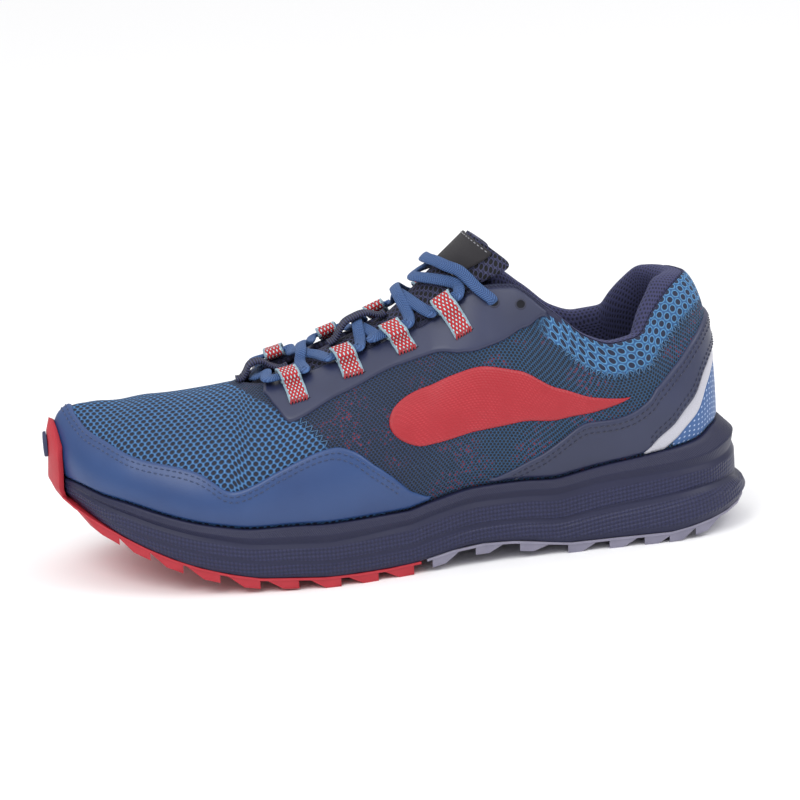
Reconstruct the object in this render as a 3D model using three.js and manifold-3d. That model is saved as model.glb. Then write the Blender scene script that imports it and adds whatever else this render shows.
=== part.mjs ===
import * as THREE from 'three';
import { mergeVertices } from 'three/addons/utils/BufferGeometryUtils.js';
import Module from 'manifold-3d';

const wasm = await Module();
wasm.setup();

// A left trail-running shoe, in millimetres. +X points to the toe, +Y to the outer side
// and +Z up. The origin is on the ground, under the flat of the heel.

// Driving sizes of the last and the sole
const UPPER_LENGTH = 284;
const HEEL_BACK = 33;
const BALL_WIDTH = 100;
const INSTEP_HEIGHT = 75;
const SOLE_STACK = 32;
const SOLE_BULGE = 5;
const TOE_SPRING = 31;
const ARCH_RISE = 4.5;
const HEEL_BEVEL = 8;

// Thicknesses and clearances
const GAP = 0.3;
const UPPER_WALL = 2;
const OUTSOLE_SKIN = 1;
const LUG_DEPTH = 3.5;
const INSOLE_THICKNESS = 4;

// Stations run from the heel back at 0 to the toe tip at 1, close together at both ends,
// where the outline turns. Pieces that lie on each other share the same stations.
const THROAT_FRONT = 0.6875;
const STATION_STEP = 0.03125;
const OUTSOLE_SPLIT = 0.5;
const OUTSOLE_JOINT = 0.006;
const STATIONS = Array.from({ length: Math.round(1 / STATION_STEP) + 1 }, (_, i) => i * STATION_STEP)
  .concat(OUTSOLE_SPLIT - OUTSOLE_JOINT)
  .sort((a, b) => a - b);

// Outline and side heights. Columns axis, outer and inner are shares of BALL_WIDTH,
// columns feather, creaseHigh and creaseLow are shares of SOLE_STACK above the outsole.
const LAST = [
  { at: 0.0, axis: 0.0, outer: 0.0, inner: 0.0, feather: 1.291, creaseHigh: 0.951, creaseLow: 0.466 },
  { at: 0.05, axis: 0.0, outer: 0.105, inner: 0.105, feather: 1.293, creaseHigh: 0.946, creaseLow: 0.493 },
  { at: 0.1, axis: 0.0, outer: 0.205, inner: 0.205, feather: 1.275, creaseHigh: 0.900, creaseLow: 0.569 },
  { at: 0.15, axis: 0.0, outer: 0.28, inner: 0.278, feather: 1.169, creaseHigh: 0.860, creaseLow: 0.569 },
  { at: 0.2, axis: 0.0, outer: 0.325, inner: 0.32, feather: 1.116, creaseHigh: 0.841, creaseLow: 0.534 },
  { at: 0.25, axis: 0.0, outer: 0.342, inner: 0.332, feather: 1.059, creaseHigh: 0.813, creaseLow: 0.484 },
  { at: 0.3, axis: 0.0, outer: 0.35, inner: 0.33, feather: 0.997, creaseHigh: 0.784, creaseLow: 0.434 },
  { at: 0.4, axis: 0.0, outer: 0.375, inner: 0.31, feather: 0.809, creaseHigh: 0.616, creaseLow: 0.306 },
  { at: 0.5, axis: -0.01, outer: 0.46, inner: 0.365, feather: 0.741, creaseHigh: 0.572, creaseLow: 0.29 },
  { at: 0.6, axis: -0.03, outer: 0.545, inner: 0.45, feather: 0.719, creaseHigh: 0.491, creaseLow: 0.256 },
  { at: 0.7, axis: -0.06, outer: 0.525, inner: 0.44, feather: 0.630, creaseHigh: 0.474, creaseLow: 0.270 },
  { at: 0.8, axis: -0.09, outer: 0.4, inner: 0.34, feather: 0.539, creaseHigh: 0.414, creaseLow: 0.233 },
  { at: 0.85, axis: -0.1, outer: 0.315, inner: 0.275, feather: 0.444, creaseHigh: 0.356, creaseLow: 0.188 },
  { at: 0.9, axis: -0.11, outer: 0.22, inner: 0.2, feather: 0.388, creaseHigh: 0.313, creaseLow: 0.156 },
  { at: 0.95, axis: -0.117, outer: 0.112, inner: 0.105, feather: 0.309, creaseHigh: 0.259, creaseLow: 0.125 },
  { at: 1.0, axis: -0.12, outer: 0.0, inner: 0.0, feather: 0.275, creaseHigh: 0.228, creaseLow: 0.109 },
];

// Top line: collar, throat edge and the ridge of the vamp. Column along is a share of
// UPPER_LENGTH, axis and half of BALL_WIDTH, rise of INSTEP_HEIGHT above the feather line.
// The last four are the rib's curve handles, as shares of its own height.
const TOP_LINE = [
  { at: 0.0, along: 0.039, axis: 0, half: 0, rise: 0.855, lowOut: 0, lowUp: 0.42, topOut: 0.14, topDown: 0.12 },
  { at: 0.05, along: 0.0511, axis: 0, half: 0.1, rise: 0.858, lowOut: 0, lowUp: 0.42, topOut: 0.16, topDown: 0.13 },
  { at: 0.1, along: 0.0784, axis: 0, half: 0.2, rise: 0.83, lowOut: 0.02, lowUp: 0.4, topOut: 0.12, topDown: 0.18 },
  { at: 0.15, along: 0.1158, axis: 0, half: 0.28, rise: 0.751, lowOut: 0.04, lowUp: 0.38, topOut: 0.06, topDown: 0.26 },
  { at: 0.2, along: 0.1441, axis: 0, half: 0.34, rise: 0.664, lowOut: 0.06, lowUp: 0.36, topOut: 0.03, topDown: 0.3 },
  { at: 0.25, along: 0.1835, axis: 0, half: 0.36, rise: 0.669, lowOut: 0.07, lowUp: 0.36, topOut: 0.02, topDown: 0.32 },
  { at: 0.3, along: 0.2249, axis: 0, half: 0.345, rise: 0.748, lowOut: 0.08, lowUp: 0.36, topOut: 0.05, topDown: 0.32 },
  { at: 0.35, along: 0.2744, axis: 0, half: 0.3, rise: 0.953, lowOut: 0.1, lowUp: 0.36, topOut: 0.1, topDown: 0.32 },
  { at: 0.4, along: 0.327, axis: 0, half: 0.215, rise: 1.087, lowOut: 0.12, lowUp: 0.36, topOut: 0.16, topDown: 0.3 },
  { at: 0.44, along: 0.3664, axis: 0, half: 0.19, rise: 1.083, lowOut: 0.13, lowUp: 0.36, topOut: 0.2, topDown: 0.28 },
  { at: 0.5, along: 0.4401, axis: 0, half: 0.185, rise: 1.008, lowOut: 0.14, lowUp: 0.36, topOut: 0.26, topDown: 0.24 },
  { at: 0.6, along: 0.5806, axis: -0.01, half: 0.17, rise: 0.816, lowOut: 0.13, lowUp: 0.4, topOut: 0.36, topDown: 0.12 },
  { at: 0.64, along: 0.6544, axis: -0.018, half: 0.155, rise: 0.725, lowOut: 0.13, lowUp: 0.42, topOut: 0.42, topDown: 0.06 },
  { at: 0.665, along: 0.7019, axis: -0.023, half: 0.12, rise: 0.69, lowOut: 0.13, lowUp: 0.43, topOut: 0.45, topDown: 0.04 },
  { at: 0.6875, along: 0.7322, axis: -0.028, half: 0, rise: 0.655, lowOut: 0.13, lowUp: 0.44, topOut: 0.48, topDown: 0.02 },
  { at: 0.8, along: 0.8454, axis: -0.06, half: 0, rise: 0.494, lowOut: 0.13, lowUp: 0.48, topOut: 0.55, topDown: 0 },
  { at: 0.9, along: 0.9222, axis: -0.09, half: 0, rise: 0.402, lowOut: 0.1, lowUp: 0.52, topOut: 0.5, topDown: 0 },
  { at: 1.0, along: 0.9616, axis: -0.105, half: 0, rise: 0.386, lowOut: 0.08, lowUp: 0.55, topOut: 0.45, topDown: 0 },
];

// Underside of the outsole skin along the shoe, as shares of UPPER_LENGTH, TOE_SPRING,
// ARCH_RISE and HEEL_BEVEL. Both flats, at the heel and the ball, are zero in all three.
const UNDERSIDE = [
  { at: -0.0528, spring: 0, arch: 0, bevel: 1.15 },
  { at: -0.0106, spring: 0, arch: 0, bevel: 0.78 },
  { at: 0.0176, spring: 0, arch: 0, bevel: 0.54 },
  { at: 0.0458, spring: 0, arch: 0, bevel: 0.35 },
  { at: 0.0722, spring: 0, arch: 0, bevel: 0.19 },
  { at: 0.1074, spring: 0, arch: 0, bevel: 0 },
  { at: 0.2676, spring: 0, arch: 0, bevel: 0 },
  { at: 0.3381, spring: 0, arch: 0.73, bevel: 0 },
  { at: 0.4119, spring: 0, arch: 1, bevel: 0 },
  { at: 0.4785, spring: 0, arch: 0.45, bevel: 0 },
  { at: 0.518, spring: 0, arch: 0, bevel: 0 },
  { at: 0.6231, spring: 0, arch: 0, bevel: 0 },
  { at: 0.6867, spring: 0.032, arch: 0, bevel: 0 },
  { at: 0.7393, spring: 0.06, arch: 0, bevel: 0 },
  { at: 0.7989, spring: 0.18, arch: 0, bevel: 0 },
  { at: 0.8484, spring: 0.315, arch: 0, bevel: 0 },
  { at: 0.8909, spring: 0.465, arch: 0, bevel: 0 },
  { at: 0.9404, spring: 0.69, arch: 0, bevel: 0 },
  { at: 0.9757, spring: 0.865, arch: 0, bevel: 0 },
  { at: 1, spring: 1, arch: 0, bevel: 0 },
  { at: 1.0303, spring: 1.19, arch: 0, bevel: 0 },
];

// Side of the midsole from the seat of the upper down: each level lies a share of the way
// from one height to the next, and stands out by shares of SOLE_BULGE.
const SIDE_LEVELS = [
  { from: 'feather', to: 'creaseHigh', drop: 0, heel: -0.6, waist: -0.6, ball: -0.6, toe: -0.6 },
  { from: 'feather', to: 'creaseHigh', drop: 0, heel: 0.3, waist: 0.42, ball: 0.42, toe: 0.3 },
  { from: 'feather', to: 'creaseHigh', drop: 0.55, heel: 1.5, waist: 0.84, ball: 0.84, toe: 0.4 },
  { from: 'feather', to: 'creaseHigh', drop: 1, heel: 1.32, waist: 0.68, ball: 0.68, toe: 0.34 },
  { from: 'creaseHigh', to: 'creaseLow', drop: 0.22, heel: 1.55, waist: 0.92, ball: 0.95, toe: 0.4 },
  { from: 'creaseHigh', to: 'creaseLow', drop: 0.9, heel: 1.58, waist: 0.98, ball: 1.02, toe: 0.3 },
  { from: 'creaseHigh', to: 'creaseLow', drop: 1, heel: 1.5, waist: 0.92, ball: 1.0, toe: 0.28 },
  { from: 'creaseLow', to: 'base', drop: 0.3, heel: 2.25, waist: 1.3, ball: 1.0, toe: 0.2 },
  { from: 'creaseLow', to: 'base', drop: 0.75, heel: 2.45, waist: 1.45, ball: 0.94, toe: 0 },
  { from: 'creaseLow', to: 'base', drop: 1, heel: 2.15, waist: 1.25, ball: 0.76, toe: -0.2 },
];

// Value of a table's column at any place, by a curve that never overshoots its rows.
// A column that is odd at the ends, such as a half breadth, leaves them at full slope.
function column(rows, name, odd = false) {
  const last = rows.length - 1;
  const secant = (i) => (rows[i + 1][name] - rows[i][name]) / (rows[i + 1].at - rows[i].at);
  const slopes = rows.map((row, i) => {
    if (i === 0) return odd ? secant(0) : 0;
    if (i === last) return odd ? secant(last - 1) : 0;
    const before = secant(i - 1);
    const after = secant(i);
    return before * after <= 0 ? 0 : (2 * before * after) / (before + after);
  });
  return (at) => {
    let i = 0;
    while (i < last - 1 && at > rows[i + 1].at) i += 1;
    const span = rows[i + 1].at - rows[i].at;
    const t = THREE.MathUtils.clamp((at - rows[i].at) / span, 0, 1);
    const a = (1 + 2 * t) * (1 - t) ** 2;
    const b = t * (1 - t) ** 2 * span;
    const c = t * t * (3 - 2 * t);
    const d = t * t * (t - 1) * span;
    return a * rows[i][name] + b * slopes[i] + c * rows[i + 1][name] + d * slopes[i + 1];
  };
}

const last = {
  axis: column(LAST, 'axis'),
  outer: column(LAST, 'outer', true),
  inner: column(LAST, 'inner', true),
  feather: column(LAST, 'feather'),
  creaseHigh: column(LAST, 'creaseHigh'),
  creaseLow: column(LAST, 'creaseLow'),
};
const top = {};
for (const name of ['along', 'axis', 'rise', 'lowOut', 'lowUp', 'topOut', 'topDown']) {
  top[name] = column(TOP_LINE, name);
}
top.half = column(TOP_LINE, 'half', true);
const underside = {
  spring: column(UNDERSIDE, 'spring'),
  arch: column(UNDERSIDE, 'arch'),
  bevel: column(UNDERSIDE, 'bevel'),
};

// Height of the outsole skin's underside at a distance x from the origin, and the same
// without the bevel of the heel, which the parts above the sole don't follow
function soleLine(x) {
  const share = (x + HEEL_BACK) / UPPER_LENGTH;
  return LUG_DEPTH + underside.spring(share) * TOE_SPRING + underside.arch(share) * ARCH_RISE;
}

function undersideAt(x) {
  return soleLine(x) + underside.bevel((x + HEEL_BACK) / UPPER_LENGTH) * HEEL_BEVEL;
}

// Point of the last's outline in plan: side is 1 on the outer side and -1 on the inner
function outline(side, station) {
  const x = -HEEL_BACK + UPPER_LENGTH * (1 - Math.cos(Math.PI * station)) / 2;
  const half = side > 0 ? last.outer(station) : last.inner(station);
  return new THREE.Vector2(x, (last.axis(station) + side * half) * BALL_WIDTH);
}

// Stations past either end go on along the other side, so slopes are true there too
function wrapped(side, station) {
  if (station < 0) return [-side, -station];
  if (station > 1) return [-side, 2 - station];
  return [side, station];
}

function outlineNormal(side, station) {
  const step = 0.004;
  const ahead = outline(...wrapped(side, station + step));
  const behind = outline(...wrapped(side, station - step));
  const run = ahead.sub(behind);
  return new THREE.Vector2(-run.y * side, run.x * side).normalize();
}

// Outline moved outwards by a distance
function outlineOut(side, station, out) {
  return outline(side, station).addScaledVector(outlineNormal(side, station), out);
}

function heightOf(name, station) {
  const x = outline(1, station).x;
  if (name === 'base') return undersideAt(x) + OUTSOLE_SKIN + GAP;
  return soleLine(x) + last[name](station) * SOLE_STACK;
}

// Point of the upper's outer surface: rib is 0 at the feather line and 1 at the top line
function ribPoint(side, station, rib) {
  const foot = outline(side, station);
  const normal = outlineNormal(side, station);
  const footHeight = heightOf('feather', station);
  const rise = top.rise(station) * INSTEP_HEIGHT;
  const out = new THREE.Vector3(normal.x, normal.y, 0);
  const half = station >= THROAT_FRONT ? 0 : top.half(station);
  const low = new THREE.Vector3(foot.x, foot.y, footHeight);
  const high = new THREE.Vector3(
    -HEEL_BACK + top.along(station) * UPPER_LENGTH,
    (top.axis(station) + side * half) * BALL_WIDTH,
    footHeight + rise,
  );
  const lowHandle = low.clone().addScaledVector(out, top.lowOut(station) * rise);
  lowHandle.z += top.lowUp(station) * rise;
  const highHandle = high.clone().addScaledVector(out, top.topOut(station) * rise);
  highHandle.z -= top.topDown(station) * rise;
  return new THREE.CubicBezierCurve3(low, lowHandle, highHandle, high).getPoint(rib);
}

function ribNormal(side, station, rib) {
  const step = 0.004;
  const along = ribPoint(...wrapped(side, station + step), rib)
    .sub(ribPoint(...wrapped(side, station - step), rib));
  const up = ribPoint(side, station, Math.min(rib + step, 1))
    .sub(ribPoint(side, station, Math.max(rib - step, 0)));
  // Past an end the other side runs backwards, which wrapped() has allowed for
  return up.cross(along).multiplyScalar(side).normalize();
}

// Point at a distance out from the upper's outer surface. The normal turns level towards
// the feather line, so every layer ends flat on the sole, and both sides share the ridge.
function skin(side, station, rib, out) {
  const normal = ribNormal(side, station, rib);
  if (rib > 0.999 && station >= THROAT_FRONT) normal.add(ribNormal(-side, station, rib));
  normal.z *= THREE.MathUtils.smoothstep(rib, 0, 0.12);
  return ribPoint(side, station, rib).addScaledVector(normal.normalize(), out);
}

// Geometry helpers

function geometryFrom(points, faces) {
  let geometry = new THREE.BufferGeometry();
  geometry.setAttribute('position', new THREE.Float32BufferAttribute(points.flatMap((p) => [p.x, p.y, p.z]), 3));
  geometry.setIndex(faces.flat());
  geometry = mergeVertices(geometry, 1e-3);
  const index = geometry.index.array;
  const kept = [];
  for (let i = 0; i < index.length; i += 3) {
    const [a, b, c] = [index[i], index[i + 1], index[i + 2]];
    if (a !== b && b !== c && c !== a) kept.push(a, b, c);
  }
  geometry.setIndex(kept);
  return signedVolume(geometry) < 0 ? turnedInsideOut(geometry) : geometry;
}

function signedVolume(geometry) {
  const position = geometry.attributes.position;
  const index = geometry.index.array;
  const corner = [new THREE.Vector3(), new THREE.Vector3(), new THREE.Vector3()];
  let volume = 0;
  for (let i = 0; i < index.length; i += 3) {
    corner.forEach((p, k) => p.fromBufferAttribute(position, index[i + k]));
    volume += corner[0].dot(corner[1].clone().cross(corner[2])) / 6;
  }
  return volume;
}

function turnedInsideOut(geometry) {
  const index = Array.from(geometry.index.array);
  for (let i = 0; i < index.length; i += 3) {
    [index[i + 1], index[i + 2]] = [index[i + 2], index[i + 1]];
  }
  geometry.setIndex(index);
  return geometry;
}

// Solid through closed sections of equally many points. With loop the last section joins
// the first, otherwise both ends are capped as ladders between the section's two halves.
function loft(sections, { loop = false, skip = () => false } = {}) {
  const count = sections[0].length;
  const points = sections.flat();
  const faces = [];
  const quad = (a, b, c, d) => faces.push([a, b, c], [a, c, d]);
  const spans = loop ? sections.length : sections.length - 1;
  for (let i = 0; i < spans; i += 1) {
    const here = i * count;
    const next = ((i + 1) % sections.length) * count;
    for (let j = 0; j < count; j += 1) {
      if (skip(i, j)) continue;
      const k = (j + 1) % count;
      quad(here + j, here + k, next + k, next + j);
    }
  }
  if (!loop) {
    const end = (sections.length - 1) * count;
    for (let j = 0; j < count / 2 - 1; j += 1) {
      const far = count - 1 - j;
      quad(j, far, far - 1, j + 1);
      quad(end + j, end + j + 1, end + far - 1, end + far);
    }
  }
  return geometryFrom(points, faces);
}

function toSolid(geometry) {
  return new wasm.Manifold(new wasm.Mesh({
    numProp: 3,
    vertProperties: new Float32Array(geometry.attributes.position.array),
    triVerts: new Uint32Array(geometry.index.array),
  }));
}

function toGeometry(solid) {
  const mesh = solid.getMesh();
  const geometry = new THREE.BufferGeometry();
  geometry.setAttribute('position', new THREE.BufferAttribute(mesh.vertProperties, 3));
  geometry.setIndex(new THREE.BufferAttribute(mesh.triVerts, 1));
  return geometry;
}

const shoe = new THREE.Group();

function addPiece(name, geometry, color, roughness = 0.8) {
  geometry.computeVertexNormals();
  const mesh = new THREE.Mesh(geometry, new THREE.MeshStandardMaterial({ color, roughness, metalness: 0 }));
  mesh.name = name;
  shoe.add(mesh);
}

// Stations from first to final: the shared ones between them, and the middles when fine
function stationsBetween(first, final, fine = false) {
  const middles = fine ? STATIONS.slice(1).map((station, i) => (station + STATIONS[i]) / 2) : [];
  const least = STATION_STEP / 6;
  const between = STATIONS.concat(middles)
    .filter((station) => station > first + least && station < final - least)
    .sort((a, b) => a - b);
  return [first, ...between, final];
}

// Both sides in turn round the shoe: heel back, outer side, toe tip, inner side
function roundTheShoe() {
  const outer = STATIONS.map((station) => [1, station]);
  const inner = STATIONS.slice(1, -1).reverse().map((station) => [-1, station]);
  return outer.concat(inner);
}

// Upper: one shell, open at the collar and throat and underneath
const RIB_STEPS = 7;
function upper() {
  const around = roundTheShoe();
  const ribs = Array.from({ length: RIB_STEPS + 1 }, (_, i) => i / RIB_STEPS);
  const sections = around.map(([side, station]) => {
    const outside = ribs.map((rib) => skin(side, station, rib, 0));
    const inside = ribs.map((rib) => skin(side, station, rib, -UPPER_WALL)).reverse();
    return outside.concat(inside);
  });
  const closed = (i) => around[i % around.length][1] > THROAT_FRONT - 1e-6;
  return loft(sections, { loop: true, skip: (i, j) => j === RIB_STEPS && closed(i) && closed(i + 1) });
}

// Midsole: foam block whose side steps in at two creases and flares at the heel
function sideOut(level, station) {
  const rows = [
    { at: 0, out: level.heel },
    { at: 0.08, out: level.heel },
    { at: 0.3, out: level.waist },
    { at: 0.6, out: level.ball },
    { at: 0.8, out: level.ball },
    { at: 0.92, out: level.toe },
    { at: 1, out: level.toe },
  ];
  return column(rows, 'out')(station) * SOLE_BULGE;
}

function sidePoint(level, side, station) {
  const plan = outlineOut(side, station, sideOut(level, station));
  const high = heightOf(level.from, station);
  const low = level.to === 'base' ? undersideAt(plan.x) + OUTSOLE_SKIN + GAP : heightOf(level.to, station);
  return new THREE.Vector3(plan.x, plan.y, THREE.MathUtils.lerp(high, low, level.drop) - (level.drop === 0 ? GAP : 0));
}

// Solid between stacked rings, closed by ladders across the first and last ring
function stackedRings(rings, around) {
  const count = around.length;
  const points = rings.flat();
  const faces = [];
  for (let r = 0; r < rings.length - 1; r += 1) {
    for (let j = 0; j < count; j += 1) {
      const k = (j + 1) % count;
      const [a, b] = [r * count + j, r * count + k];
      faces.push([a, b, b + count], [a, b + count, a + count]);
    }
  }
  const end = (rings.length - 1) * count;
  for (let j = 0; j < count / 2; j += 1) {
    const opposite = (i) => (count - i) % count;
    faces.push([j, opposite(j), opposite(j + 1)], [j, opposite(j + 1), j + 1]);
    faces.push([end + j, end + opposite(j + 1), end + opposite(j)], [end + j, end + j + 1, end + opposite(j + 1)]);
  }
  return geometryFrom(points, faces);
}

function midsole() {
  const around = roundTheShoe();
  const rings = SIDE_LEVELS.map((level) => around.map(([side, station]) => sidePoint(level, side, station)));
  return stackedRings(rings, around);
}

// Insole: a flat board of foam inside the upper
const INSOLE_EDGE = UPPER_WALL + 0.8;
function insole() {
  const around = roundTheShoe();
  const ring = (lift, inset) => around.map(([side, station]) => {
    const plan = outlineOut(side, station, -INSOLE_EDGE - inset);
    return new THREE.Vector3(plan.x, plan.y, heightOf('feather', station) + lift);
  });
  return stackedRings([ring(INSOLE_THICKNESS, 0.6), ring(0, 0)], around);
}


// Overlays: film cut to shape and bonded on the upper. Each follows the upper's own
// surface between a low and a high border, given as rib shares at stations.
const FILM = 1;
const FILM_GAP = 0.55;

function onBothSides(first, final, fine = false) {
  const outer = stationsBetween(first, final, fine).map((station) => [1, station]);
  const inner = stationsBetween(first, final, fine).map((station) => [-1, station]);
  if (final === 1) return outer.concat(inner.reverse().slice(1));
  return inner.reverse().concat(outer.slice(first === 0 ? 1 : 0));
}

function film(places, borders, ribSteps = 3, out = FILM_GAP, thickness = FILM) {
  const low = column(borders, 'low');
  const high = column(borders, 'high');
  const sections = places.map(([side, station]) => {
    const ribs = Array.from({ length: ribSteps + 1 }, (_, i) => (
      THREE.MathUtils.lerp(low(station), high(station), i / ribSteps)));
    const face = ribs.map((rib) => skin(side, station, rib, out + thickness));
    const back = ribs.map((rib) => skin(side, station, rib, out)).reverse();
    return face.concat(back);
  });
  return loft(sections);
}

const TOE_RAND = [
  { at: 0.484, low: 0.01, high: 0.03 },
  { at: 0.5, low: 0.01, high: 0.08 },
  { at: 0.528, low: 0.01, high: 0.2 },
  { at: 0.552, low: 0.01, high: 0.29 },
  { at: 0.576, low: 0.01, high: 0.38 },
  { at: 0.592, low: 0.01, high: 0.412 },
  { at: 0.636, low: 0.01, high: 0.338 },
  { at: 0.66, low: 0.01, high: 0.27 },
  { at: 0.684, low: 0.01, high: 0.225 },
  { at: 0.72, low: 0.01, high: 0.325 },
  { at: 0.74, low: 0.01, high: 0.348 },
  { at: 0.796, low: 0.01, high: 0.365 },
  { at: 0.852, low: 0.01, high: 0.475 },
  { at: 0.888, low: 0.01, high: 0.54 },
  { at: 0.928, low: 0.01, high: 0.675 },
  { at: 0.972, low: 0.01, high: 0.84 },
  { at: 1, low: 0.01, high: 0.88 },
];
const EYESTAY = [
  { at: 0.353, low: 0.94, high: 0.975 },
  { at: 0.384, low: 0.79, high: 0.975 },
  { at: 0.424, low: 0.7, high: 0.975 },
  { at: 0.452, low: 0.68, high: 0.975 },
  { at: 0.476, low: 0.713, high: 0.975 },
  { at: 0.51, low: 0.79, high: 0.975 },
  { at: 0.548, low: 0.787, high: 0.975 },
  { at: 0.6, low: 0.7, high: 0.975 },
  { at: 0.636, low: 0.6, high: 0.975 },
  { at: 0.652, low: 0.74, high: 0.975 },
  { at: 0.662, low: 0.86, high: 0.975 },
];
const HEEL_OVERLAY = [
  { at: 0, low: 0.4, high: 0.62 },
  { at: 0.07, low: 0.37, high: 0.588 },
  { at: 0.104, low: 0.335, high: 0.562 },
  { at: 0.136, low: 0.275, high: 0.55 },
  { at: 0.172, low: 0.237, high: 0.548 },
  { at: 0.196, low: 0.18, high: 0.53 },
  { at: 0.22, low: 0.12, high: 0.45 },
  { at: 0.25, low: 0.015, high: 0.386 },
  { at: 0.28, low: 0.01, high: 0.35 },
  { at: 0.312, low: 0.01, high: 0.335 },
  { at: 0.348, low: 0.01, high: 0.225 },
  { at: 0.376, low: 0.01, high: 0.125 },
  { at: 0.408, low: 0.01, high: 0.05 },
  { at: 0.425, low: 0.01, high: 0.03 },
];
// The strip and the patch fill what the heel overlay leaves below it
const STRIP_GAP = 0.008;
const STRIP_FOOT = 0.215;
const HEEL_STRIP = HEEL_OVERLAY.filter((row) => row.at <= 0.22).map((row) => ({
  at: row.at,
  low: row.low - 0.05 - 0.38 * row.at,
  high: row.low - STRIP_GAP,
}));
const HEEL_PATCH = [
  { at: 0, low: 0.01, high: 0.34 },
  { at: 0.07, low: 0.01, high: 0.285 },
  { at: 0.104, low: 0.01, high: 0.237 },
  { at: 0.136, low: 0.01, high: 0.165 },
  { at: 0.172, low: 0.01, high: 0.112 },
  { at: 0.196, low: 0.01, high: 0.03 },
];
const QUARTER_PANEL = [
  { at: 0.25, low: 0.475, high: 0.555 },
  { at: 0.28, low: 0.44, high: 0.59 },
  { at: 0.32, low: 0.39, high: 0.605 },
  { at: 0.36, low: 0.3, high: 0.62 },
  { at: 0.42, low: 0.22, high: 0.64 },
  { at: 0.48, low: 0.22, high: 0.665 },
  { at: 0.52, low: 0.29, high: 0.65 },
  { at: 0.542, low: 0.38, high: 0.58 },
];

// Collar pad: foam under cloth inside the collar, rolled over the top edge. Each section
// has an outer rail against the upper and an inner rail towards the ankle, as distances
// down from the top edge and out from the upper's surface.
const PAD_END = 0.40625;
const PAD_THICKNESS = 12;
const PAD_DEPTH = 36;
const PAD_GAP = 0.6;
const PAD_BULK = [
  { at: 0, thick: 1, roll: 0.72 },
  { at: 0.11, thick: 0.95, roll: 0.72 },
  { at: 0.2, thick: 0.62, roll: 0.12 },
  { at: 0.42, thick: 0.45, roll: 0.1 },
];
const PAD_OUTER = [
  { down: 1, out: 0 },
  { down: 0.6, out: 0 },
  { down: 0.25, out: 0 },
  { down: 0, out: 0 },
  { down: 0, out: 1 },
];
const PAD_INNER = [
  { down: 1, up: 0, thick: 0.22 },
  { down: 0.5, up: 0, thick: 0.7 },
  { down: 0.1, up: 0, thick: 1 },
  { down: 0, up: 0.95, thick: 0.62 },
  { down: 0, up: 0.8, thick: 0.1 },
];

// Distances down a rib from the top line, turned into rib shares
function ribDown(side, station, distance) {
  const steps = 60;
  let rest = distance;
  let here = ribPoint(side, station, 1);
  for (let i = 1; i <= steps; i += 1) {
    const next = ribPoint(side, station, 1 - i / steps);
    const length = next.distanceTo(here);
    if (length >= rest) return 1 - (i - 1 + rest / length) / steps;
    rest -= length;
    here = next;
  }
  return 0;
}

// Point by its distance down from the top edge, or above it when negative
function nearEdge(side, station, down, out) {
  if (down >= 0) return skin(side, station, ribDown(side, station, down), out);
  const edge = ribPoint(side, station, 1);
  const upward = edge.clone().sub(ribPoint(side, station, 0.98)).normalize();
  return skin(side, station, 1, out).addScaledVector(upward, -down);
}

function collarPad() {
  const places = onBothSides(0, PAD_END);
  const bulk = column(PAD_BULK, 'thick');
  const roll = column(PAD_BULK, 'roll');
  const inside = -UPPER_WALL - PAD_GAP;
  const sections = places.map(([side, station]) => {
    const outer = PAD_OUTER.map(({ down, out }) => (
      nearEdge(side, station, down * PAD_DEPTH - (down === 0 ? PAD_GAP : 0), inside + out * UPPER_WALL)));
    const inner = PAD_INNER.map(({ down, up, thick }) => nearEdge(
      side,
      station,
      down * PAD_DEPTH - up * roll(station) * PAD_THICKNESS,
      inside - thick * bulk(station) * PAD_THICKNESS,
    ));
    return outer.concat(inner.reverse());
  });
  return loft(sections);
}

// Tongue: a padded sheet bent over the instep. Columns along and height are its crown, as
// shares of UPPER_LENGTH and INSTEP_HEIGHT above the heel's feather line, bend its radius
// as a share of BALL_WIDTH, sweep half its angle, tilt the lean of its section and thick
// its thickness as a share of TONGUE_THICKNESS.
const TONGUE_THICKNESS = 4;
const TONGUE = [
  { at: 0, along: 0.712, height: 0.51, bend: 0.42, sweep: 34, tilt: 20, thick: 1 },
  { at: 0.14, along: 0.6685, height: 0.57, bend: 0.3, sweep: 50, tilt: 21, thick: 1 },
  { at: 0.27, along: 0.6231, height: 0.65, bend: 0.24, sweep: 60, tilt: 22, thick: 1 },
  { at: 0.41, along: 0.5705, height: 0.735, bend: 0.21, sweep: 66, tilt: 23, thick: 1 },
  { at: 0.55, along: 0.521, height: 0.81, bend: 0.195, sweep: 70, tilt: 26, thick: 1 },
  { at: 0.64, along: 0.4967, height: 0.865, bend: 0.185, sweep: 72, tilt: 30, thick: 1 },
  { at: 0.72, along: 0.4684, height: 0.955, bend: 0.172, sweep: 76, tilt: 35, thick: 1 },
  { at: 0.8, along: 0.4422, height: 1.055, bend: 0.16, sweep: 82, tilt: 38, thick: 1.1 },
  { at: 0.9, along: 0.4088, height: 1.165, bend: 0.165, sweep: 84, tilt: 42, thick: 1.4 },
  { at: 1, along: 0.3694, height: 1.29, bend: 0.235, sweep: 86, tilt: 51, thick: 1.5 },
];
const HEEL_FEATHER = LUG_DEPTH + SOLE_STACK * 1.05;
const tongueAt = {};
for (const name of ['along', 'height', 'bend', 'sweep', 'tilt', 'thick']) tongueAt[name] = column(TONGUE, name);

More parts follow.
